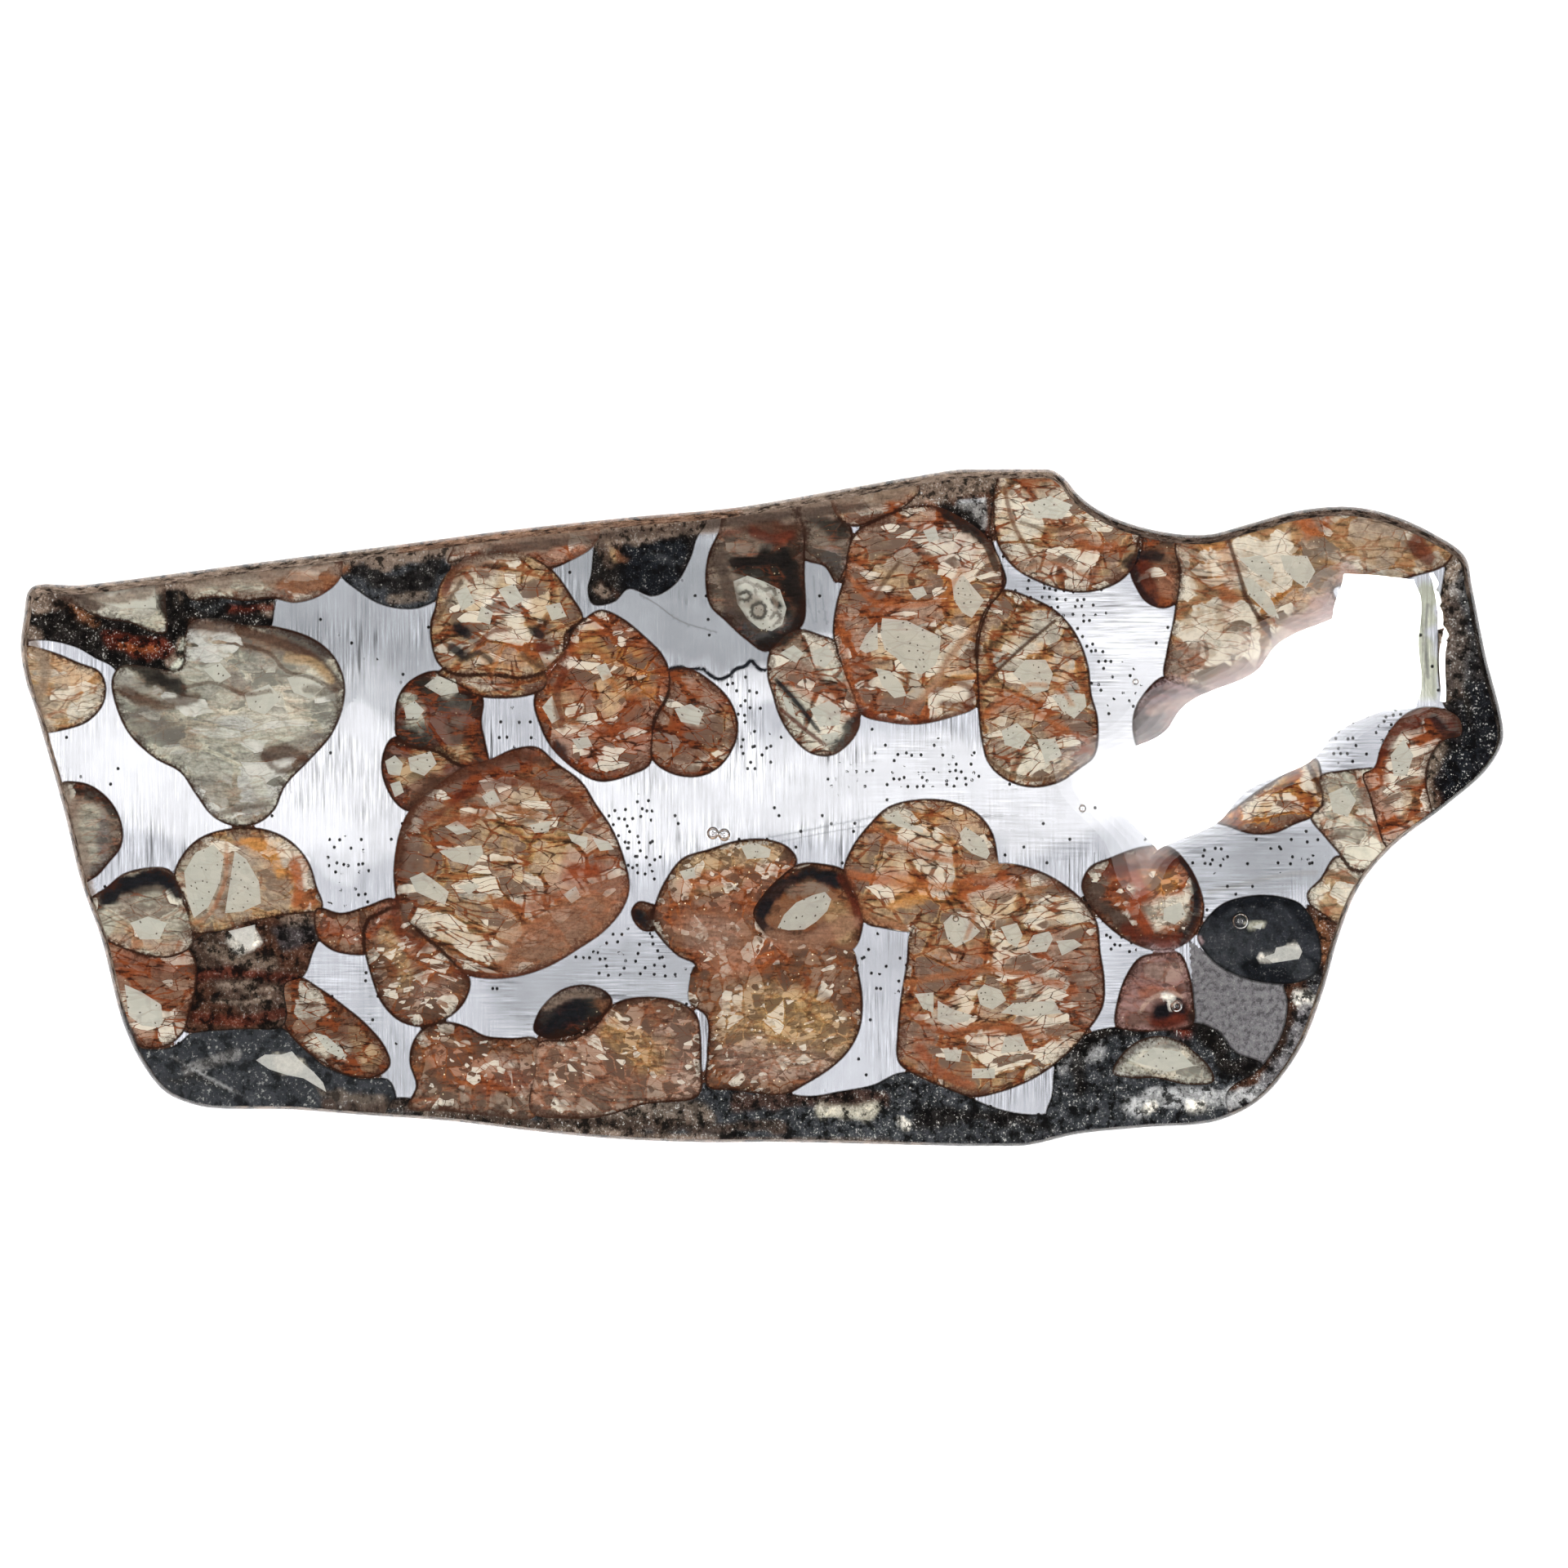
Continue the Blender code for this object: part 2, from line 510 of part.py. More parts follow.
def coat_half(name, rings):
    """A closed shell through rings of points, with its first and last ring filled."""
    shell = bmesh.new()
    loops = [[shell.verts.new((p.x, p.y, z)) for p in points] for points, z in rings]
    for lower, upper in zip(loops, loops[1:]):
        for i in range(len(lower)):
            shell.faces.new((lower[i - 1], lower[i], upper[i], upper[i - 1]))
    shell.faces.new(loops[0])
    shell.faces.new(loops[-1])
    finish(name, shell, (0.0, 0.0, 0.0), "resin")


def build_coat():
    """The resin under the slab and the resin over it, which meet at half the slab's thickness."""
    back = [(inset(SILHOUETTE_OUTLINE, reach), z) for reach, z in BACK_EDGE]
    back.append((POCKET_OUTLINE, PARTING - GAP / 2))
    back.append((POCKET_OUTLINE, SLAB_BOTTOM - GAP))
    coat_half("resin_back", back)

    front = [(POCKET_OUTLINE, SLAB_TOP + GAP), (POCKET_OUTLINE, PARTING + GAP / 2)]
    front += [(inset(SILHOUETTE_OUTLINE, reach), z) for reach, z in FRONT_EDGE]
    coat_half("resin_front", front)


def main():
    for old in list(bpy.data.objects):
        bpy.data.objects.remove(old, do_unlink=True)
    build_slab()
    build_coat()


main()
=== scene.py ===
"""The looks of a polished pallasite slice that lies on its back in a clear resin coat."""
import json

import bpy
import numpy as np
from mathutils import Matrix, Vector
from mathutils.geometry import delaunay_2d_cdt


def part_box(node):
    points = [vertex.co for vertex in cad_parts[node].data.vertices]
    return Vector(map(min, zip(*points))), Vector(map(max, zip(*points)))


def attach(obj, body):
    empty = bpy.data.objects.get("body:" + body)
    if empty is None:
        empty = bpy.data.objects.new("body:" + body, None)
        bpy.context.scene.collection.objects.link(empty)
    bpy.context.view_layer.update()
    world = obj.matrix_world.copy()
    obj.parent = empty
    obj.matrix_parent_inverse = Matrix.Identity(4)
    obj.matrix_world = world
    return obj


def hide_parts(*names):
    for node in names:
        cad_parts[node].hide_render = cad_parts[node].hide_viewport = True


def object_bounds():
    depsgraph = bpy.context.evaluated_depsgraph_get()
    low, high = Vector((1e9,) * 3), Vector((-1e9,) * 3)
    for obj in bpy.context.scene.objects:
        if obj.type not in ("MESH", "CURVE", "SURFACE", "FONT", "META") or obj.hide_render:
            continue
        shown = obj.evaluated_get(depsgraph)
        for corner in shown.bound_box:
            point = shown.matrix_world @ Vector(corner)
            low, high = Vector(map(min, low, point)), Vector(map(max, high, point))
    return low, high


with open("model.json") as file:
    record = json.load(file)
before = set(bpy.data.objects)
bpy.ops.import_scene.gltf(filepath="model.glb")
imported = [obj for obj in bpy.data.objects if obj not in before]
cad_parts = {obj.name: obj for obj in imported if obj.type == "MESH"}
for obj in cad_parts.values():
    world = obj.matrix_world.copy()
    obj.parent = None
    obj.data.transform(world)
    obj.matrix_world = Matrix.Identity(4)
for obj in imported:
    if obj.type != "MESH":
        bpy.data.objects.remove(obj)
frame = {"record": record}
cad_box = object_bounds()

# Sizes that come from the frame, in metres
LOWEST, HIGHEST = (np.array(corner) for corner in cad_box)
SLAB_BOTTOM, SLAB_TOP = (corner[2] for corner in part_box("metal_main"))
COAT_TOP = HIGHEST[2]
MM = 0.001

# The slice in the photograph, which looks straight down, in pixels
PHOTO_LEFT, PHOTO_RIGHT = 25, 1841
PHOTO_TOP, PHOTO_BOTTOM = 574, 1404
PHOTO_SIDE = 1920
PIXEL = (HIGHEST[0] - LOWEST[0]) / (PHOTO_RIGHT - PHOTO_LEFT)
PHOTO_MIDDLE = np.array(((PHOTO_LEFT + PHOTO_RIGHT) / 2, (PHOTO_TOP + PHOTO_BOTTOM) / 2))

# The slab's edge lies this far inside the coat's, and further on the side towards +Y
EDGE_COAT = 0.55 * MM
EDGE_COAT_TILT = 0.15 * MM


def track(text):
    """A path written as x,y pairs with spaces between them, as rows of two numbers."""
    return [tuple(map(float, pair.split(","))) for pair in text.split()]


def paths_of(text):
    """Paths, one a line."""
    return [track(line) for line in text.strip().splitlines()]


def stroke_of(line):
    """A brush stroke: its colour where it has one, its radius in pixels and its strength, then its path.

    Two spaces stand before the path.
    """
    head, path = line.strip().split("  ")
    *colour, radius, strength = head.split()
    return (*colour, float(radius), float(strength), track(path))


def strokes_of(text):
    """Brush strokes, one a line."""
    return [stroke_of(line) for line in text.strip().splitlines()]


def tones_of(text):
    """Each node's name and ground colour on one line, and its strokes on the lines set in below it."""
    tones = {}
    for line in text.strip().splitlines():
        if line.startswith(" "):
            strokes.append(stroke_of(line))
        else:
            name, ground = line.split()
            strokes = []
            tones[name] = (ground, strokes)
    return tones


SILHOUETTE = (
    "38,719 100,716 220,701 357,683 500,665 620,649 780,632 900,621 1040,597 1120,583 1180,574 1285,574 "
    "1303,585 1320,605 1340,621 1375,638 1430,652 1480,654 1530,641 1590,625 1650,620 1700,629 1755,653 "
    "1794,681 1803,720 1820,805 1838,875 1841,905 1822,941 1770,987 1705,1037 1665,1085 1640,1145 "
    "1620,1215 1592,1285 1545,1345 1490,1373 1400,1381 1320,1389 1250,1404 1140,1403 960,1399 850,1399 "
    "740,1394 650,1385 550,1373 448,1366 356,1359 258,1357 228,1350 203,1338 176,1306 151,1254 124,1150 "
    "99,1079 80,1000 60,927 43,869 31,832 25,793 29,756"
)

# Each grain's outline. Where two overlap, the one named first keeps the shared ground.
GRAINS = {
    "olivine_large_left": (
        "600,930 630,917 658,915 680,933 712,957 730,985 750,1015 764,1050 771,1085 764,1110 742,1138 "
        "708,1162 672,1183 635,1195 598,1198 570,1192 541,1164 512,1138 490,1113 483,1082 484,1048 "
        "492,1012 505,988 535,962 566,940",
    ),
    "olivine_round_top": (
        "1041,664 1052,648 1075,636 1112,621 1145,620 1180,636 1207,657 1222,683 1229,710 1226,726 "
        "1206,750 1196,790 1198,830 1196,864 1165,878 1122,887 1085,884 1055,875 1044,850 1034,825 "
        "1025,798 1020,775 1024,740 1033,708",
    ),
    "olivine_twin_lower_right": (
        "1222,1058 1262,1063 1298,1080 1325,1102 1343,1130 1347,1165 1352,1200 1350,1232 1330,1264 "
        "1300,1296 1262,1322 1220,1338 1190,1343 1162,1334 1120,1316 1100,1300 1099,1262 1103,1222 "
        "1110,1180 1116,1138 1150,1105 1190,1075",
        "1033,1068 1042,1040 1064,1010 1088,988 1125,979 1162,981 1194,994 1214,1018 1221,1048 1222,1075 "
        "1200,1110 1150,1138 1116,1141 1080,1136 1060,1130 1048,1098",
    ),
    "olivine_spotted": (
        "533,745 538,718 552,698 575,683 610,679 645,680 675,697 700,730 714,758 694,775 690,800 672,820 "
        "640,830 600,826 560,826 538,814 528,785 528,760",
        "535,824 560,816 600,818 640,822 668,824 668,842 650,851 615,855 585,852 560,838",
    ),
    "olivine_rust_oval": (
        "702,770 716,758 735,747 760,756 790,780 812,803 821,830 816,856 802,880 799,912 796,936 775,948 "
        "735,957 708,945 676,916 662,890 654,856 668,832 690,800",
    ),
    "olivine_rust_small": (
        "818,822 842,818 868,832 892,855 903,882 901,908 882,938 855,951 822,947 799,930 797,900 806,872 "
        "818,850",
    ),
    "olivine_dark_pair": (
        "484,885 487,856 500,836 528,822 556,826 580,840 592,856 590,885 596,915 598,934 566,938 535,920 "
        "505,914 486,902",
        "480,904 510,902 540,912 572,930 570,950 540,968 520,985 500,993 484,982 470,955 468,930",
    ),
    "olivine_linked_left": (
        "487,1112 512,1138 541,1164 562,1184 576,1200 570,1225 552,1244 520,1257 490,1250 468,1228 "
        "455,1195 446,1155 450,1128 466,1118",
        "388,1112 418,1118 448,1110 482,1100 494,1116 470,1135 458,1160 450,1168 425,1168 405,1162 "
        "388,1145",
    ),
    "olivine_rust_top": (
        "548,690 560,668 595,650 640,645 715,640 735,650 728,668 700,686 672,696 645,682 610,678 575,683",
    ),
    "olivine_pale_left": (
        "226,780 236,762 262,757 300,765 340,768 385,783 410,805 422,835 420,866 406,900 380,930 350,962 "
        "336,992 316,1008 290,1012 262,1000 240,972 222,946 190,928 160,900 144,868 138,832 150,815 "
        "222,818",
    ),
    "olivine_amber_left": (
        "214,1073 222,1050 244,1027 280,1015 322,1015 355,1029 378,1055 388,1085 395,1112 345,1121 "
        "296,1132 262,1141 238,1142 228,1104",
    ),
    "olivine_black_capped": (
        "110,1104 132,1086 150,1071 178,1063 206,1064 220,1080 226,1103 236,1132 236,1158 210,1172 "
        "180,1170 150,1160 124,1142",
    ),
    "olivine_half_moon": (
        "74,960 100,958 122,968 142,990 151,1018 148,1038 134,1056 118,1074 95,1084 80,1040",
    ),
    "olivine_rust_left": (
        "120,1140 150,1158 190,1170 228,1160 240,1175 241,1205 233,1240 226,1262 206,1280 180,1282 "
        "150,1262 132,1215",
    ),
    "olivine_brown_left": (
        "232,1160 246,1146 272,1138 300,1128 345,1119 392,1111 396,1135 384,1165 372,1195 350,1205 "
        "352,1245 345,1258 300,1260 262,1262 226,1262 238,1220 240,1180",
    ),
    "olivine_oblong": (
        "345,1204 366,1196 392,1210 420,1230 450,1255 472,1282 478,1304 462,1318 430,1318 400,1304 "
        "372,1284 352,1262 344,1240",
    ),
    "olivine_tan_left": (
        "30,792 60,797 98,812 122,822 130,838 127,862 110,882 86,892 50,895 40,875",
    ),
    "olivine_corner": (
        "70,731 80,712 150,700 197,700 204,745 204,775 186,774 160,763 125,757 98,743",
    ),
    "olivine_sliver_top": (
        "226,722 228,700 300,690 416,680 418,706 395,728 362,738 335,733 300,736 262,732 236,735",
    ),
    "olivine_hexagon": (
        "864,712 868,678 880,652 890,620 925,605 970,605 978,628 985,650 985,700 983,765 962,778 938,798 "
        "912,782 888,760 870,742",
    ),
    "olivine_top_strip": (
        "1018,618 1022,590 1070,580 1115,575 1126,600 1112,618 1080,634 1045,645 1026,634",
    ),
    "olivine_grey_top": (
        "972,628 980,600 1022,590 1030,632 1043,648 1041,672 1034,700 1024,714 1010,694 984,684 984,650",
    ),
    "olivine_pair_centre": (
        "942,800 958,780 980,771 1005,778 1024,786 1027,800 1040,830 1052,868 1052,890 1040,910 1018,925 "
        "992,922 968,900 954,876 946,850 940,828",
    ),
    "olivine_double_right": (
        "1226,723 1260,731 1295,750 1318,778 1332,815 1336,850 1344,882 1340,925 1320,942 1296,958 "
        "1262,964 1230,954 1210,934 1201,902 1196,828 1197,786 1208,748",
    ),
    "olivine_tan_top": (
        "1220,590 1240,560 1300,560 1330,590 1345,615 1375,635 1396,650 1394,665 1390,688 1375,709 "
        "1345,723 1312,725 1275,714 1244,697 1224,672 1216,640",
    ),
    "olivine_great_right": (
        "1438,668 1465,645 1500,640 1540,625 1590,612 1650,605 1700,615 1745,636 1780,664 1772,690 "
        "1730,706 1690,715 1650,716 1632,722 1641,748 1632,775 1606,795 1578,800 1566,826 1530,848 "
        "1498,856 1465,843 1426,830 1428,800 1436,762 1440,735 1444,700",
    ),
    "olivine_violet_right": (
        "1426,828 1465,842 1500,852 1525,850 1500,868 1462,886 1420,906 1398,924 1388,902 1388,874 "
        "1400,850",
    ),
    "olivine_brown_small": (
        "1384,700 1394,686 1398,660 1400,636 1442,640 1444,690 1443,735 1425,745 1404,738 1392,722",
    ),
    "olivine_crescent_right": (
        "1682,940 1690,916 1700,897 1716,878 1738,867 1765,868 1786,880 1788,900 1768,906 1752,926 "
        "1746,955 1750,1000 1722,1022 1696,1036 1684,1005 1676,975 1668,948",
    ),
    "olivine_pale_right": (
        "1616,950 1640,944 1668,941 1684,942 1684,975 1692,1005 1704,1040 1685,1060 1655,1064 1640,1046 "
        "1622,1025 1604,1000 1618,985",
        "1636,1048 1656,1056 1680,1064 1660,1095 1650,1140 1622,1122 1604,1108 1600,1094 1616,1076",
    ),
    "olivine_amber_right": (
        "1484,1004 1510,990 1540,968 1572,948 1600,930 1612,930 1619,955 1621,978 1608,999 1585,1009 "
        "1560,1020 1532,1021 1506,1013",
    ),
    "olivine_dark_oval": (
        "1466,1148 1476,1126 1498,1106 1530,1097 1562,1097 1592,1107 1608,1130 1616,1165 1610,1190 "
        "1588,1203 1550,1203 1515,1194 1486,1177",
    ),
    "olivine_brown_round": (
        "1324,1085 1334,1062 1360,1050 1398,1037 1432,1037 1454,1058 1468,1085 1474,1115 1465,1142 "
        "1442,1160 1412,1163 1378,1150 1350,1128 1334,1108",
    ),
    "olivine_rose": (
        "1396,1172 1420,1167 1444,1167 1456,1192 1461,1225 1460,1254 1425,1262 1385,1262 1366,1256 "
        "1368,1225 1380,1192",
    ),
    "olivine_pale_lower_right": (
        "1362,1314 1372,1292 1392,1275 1418,1268 1445,1275 1465,1290 1482,1308 1486,1324 1455,1328 "
        "1415,1320 1385,1320",
    ),
    "olivine_hooked": (
        "922,1118 934,1096 955,1074 978,1058 1008,1058 1034,1066 1042,1088 1054,1112 1056,1136 1044,1162 "
        "1010,1156 970,1150 944,1148 930,1134",
    ),
    "olivine_body_centre": (
        "798,1130 804,1102 816,1076 836,1051 868,1040 905,1029 940,1028 966,1038 976,1055 956,1082 "
        "934,1108 935,1140 960,1160 940,1200 880,1215 850,1205 852,1182 830,1170 810,1150",
        "852,1182 872,1190 930,1146 985,1146 1042,1160 1051,1190 1056,1225 1053,1258 1040,1285 1018,1307 "
        "985,1328 960,1340 900,1335 866,1330 866,1290 865,1245 845,1228 844,1206",
        "773,1116 782,1104 796,1106 808,1112 808,1136 790,1140 779,1132",
    ),
    "olivine_dark_lens": (
        "654,1262 658,1243 672,1224 692,1210 718,1206 742,1214 750,1226 740,1242 722,1256 700,1267 "
        "672,1272",
    ),
    "olivine_golden_lower": (
        "748,1232 768,1223 805,1221 835,1228 853,1243 858,1268 859,1300 859,1335 850,1345 790,1352 "
        "740,1366 690,1368 650,1360 655,1310 660,1276 700,1272 728,1256",
    ),
    "olivine_brown_lower": (
        "502,1300 506,1276 520,1258 546,1251 572,1257 594,1268 625,1271 658,1272 664,1300 658,1340 "
        "655,1366 600,1364 545,1358 500,1354 510,1330",
    ),
    "vein_upper_left": (
        "20,700 72,728 98,742 122,754 160,762 188,772 206,770 228,780 222,818 200,823 178,832 160,855 "
        "140,818 118,806 95,793 58,784 10,784",
        "200,690 228,695 232,733 262,730 300,734 336,733 336,748 330,770 300,772 278,762 250,757 232,764 "
        "226,800 200,800 203,740",
    ),
    "inclusion_top_left": (
        "416,702 420,670 470,660 540,655 556,672 550,703 540,730 515,744 488,745 462,738 440,724",
    ),
    "inclusion_top": (
        "727,676 735,640 775,630 860,620 866,640 853,660 846,682 828,714 800,730 770,721 752,737 726,740 "
        "720,722 724,704",
    ),
    "crust_top": (
        "1110,575 1150,560 1228,555 1228,592 1218,612 1213,640 1216,665 1226,690 1232,712 1226,724 "
        "1215,690 1200,658 1170,634 1140,622 1108,620 1122,602",
    ),
    "crust_right": (
        "1770,676 1786,660 1820,700 1840,800 1860,885 1860,915 1835,960 1782,1005 1752,1020 1744,990 "
        "1746,950 1752,925 1770,905 1788,900 1786,878 1770,868 1762,840 1760,790 1762,740 1768,700",
    ),
    "crust_lower_right": (
        "1600,1108 1622,1118 1640,1125 1665,1140 1640,1220 1612,1295 1560,1362 1520,1385 1500,1340 "
        "1545,1304 1570,1262 1576,1226 1572,1203 1606,1192 1614,1160 1606,1128",
    ),
    "crust_bottom": (
        "1288,1340 1292,1304 1304,1282 1330,1266 1362,1258 1400,1260 1460,1252 1490,1262 1512,1288 "
        "1545,1302 1546,1316 1512,1345 1530,1385 1400,1400 1310,1402 1280,1372",
        "480,1346 540,1352 600,1358 660,1362 715,1364 745,1356 775,1346 830,1336 870,1324 900,1328 "
        "950,1336 990,1342 1030,1336 1070,1328 1100,1314 1150,1314 1165,1330 1190,1345 1240,1362 "
        "1285,1362 1310,1342 1330,1372 1330,1402 1300,1420 480,1420",
    ),
    "crust_corner": (
        "130,1250 165,1278 190,1284 215,1280 240,1262 290,1256 345,1258 372,1282 400,1306 440,1320 "
        "476,1322 486,1345 484,1385 400,1385 220,1375 140,1320",
    ),
}

# Rough outlines round the stretches of metal that the crystals part from the main one
METAL_STRETCHES = {
    "metal_far_left": "60,790 180,800 230,930 290,1010 220,1060 100,1110 50,1000",
    "metal_left": "330,730 545,690 600,850 590,935 500,1000 495,1110 390,1125 380,1050 290,1013 440,850",
    "metal_sliver": "984,680 1030,690 1035,790 960,785 984,760",
    "metal_pillar": "1060,1128 1122,1134 1112,1330 960,1345 1000,1310 1060,1250",
    "metal_below_twin": "1190,1335 1290,1290 1352,1240 1375,1250 1300,1375 1180,1365",
    "metal_beside_rose": "1346,1120 1400,1160 1380,1200 1368,1262 1345,1262 1352,1200",
    "metal_lower_left": "396,1155 452,1165 470,1235 560,1250 505,1290 505,1360 470,1360 475,1290 365,1205",
    "metal_grey_right": "1455,1150 1480,1170 1580,1200 1600,1260 1545,1330 1440,1265 1462,1240",
}

# Colours as they look in daylight, as red, green and blue from 0 to 255
COLOURS = {
    "pale": (200, 193, 174),
    "grey_green": (176, 174, 156),
    "tan": (176, 146, 106),
    "olive_tan": (160, 130, 94),
    "golden": (188, 150, 92),
    "amber": (190, 132, 72),
    "rust": (146, 80, 46),
    "red_rust": (124, 58, 34),
    "brown": (112, 74, 50),
    "dark_brown": (66, 44, 34),
    "maroon": (78, 34, 24),
    "black": (28, 25, 24),
    "charcoal": (52, 54, 57),
    "grey": (120, 118, 116),
    "grey_brown": (112, 98, 86),
    "silver": (160, 160, 160),
    "bark": (116, 100, 88),
    "slate": (44, 46, 50),
    "ink": (22, 24, 28),
    "sage": (178, 180, 164),
    "umber": (140, 104, 84),
    "dark_bark": (66, 54, 47),
    "mauve": (152, 130, 130),
    "bright_steel": (196, 198, 205),
    "pale_steel": (232, 233, 238),
    "steel_grey": (158, 161, 166),
    "dark_grey": (112, 110, 112),
    "rose": (136, 104, 98),
    "pink_grey": (158, 132, 118),
    "violet": (128, 112, 114),
    "white": (225, 220, 208),
}

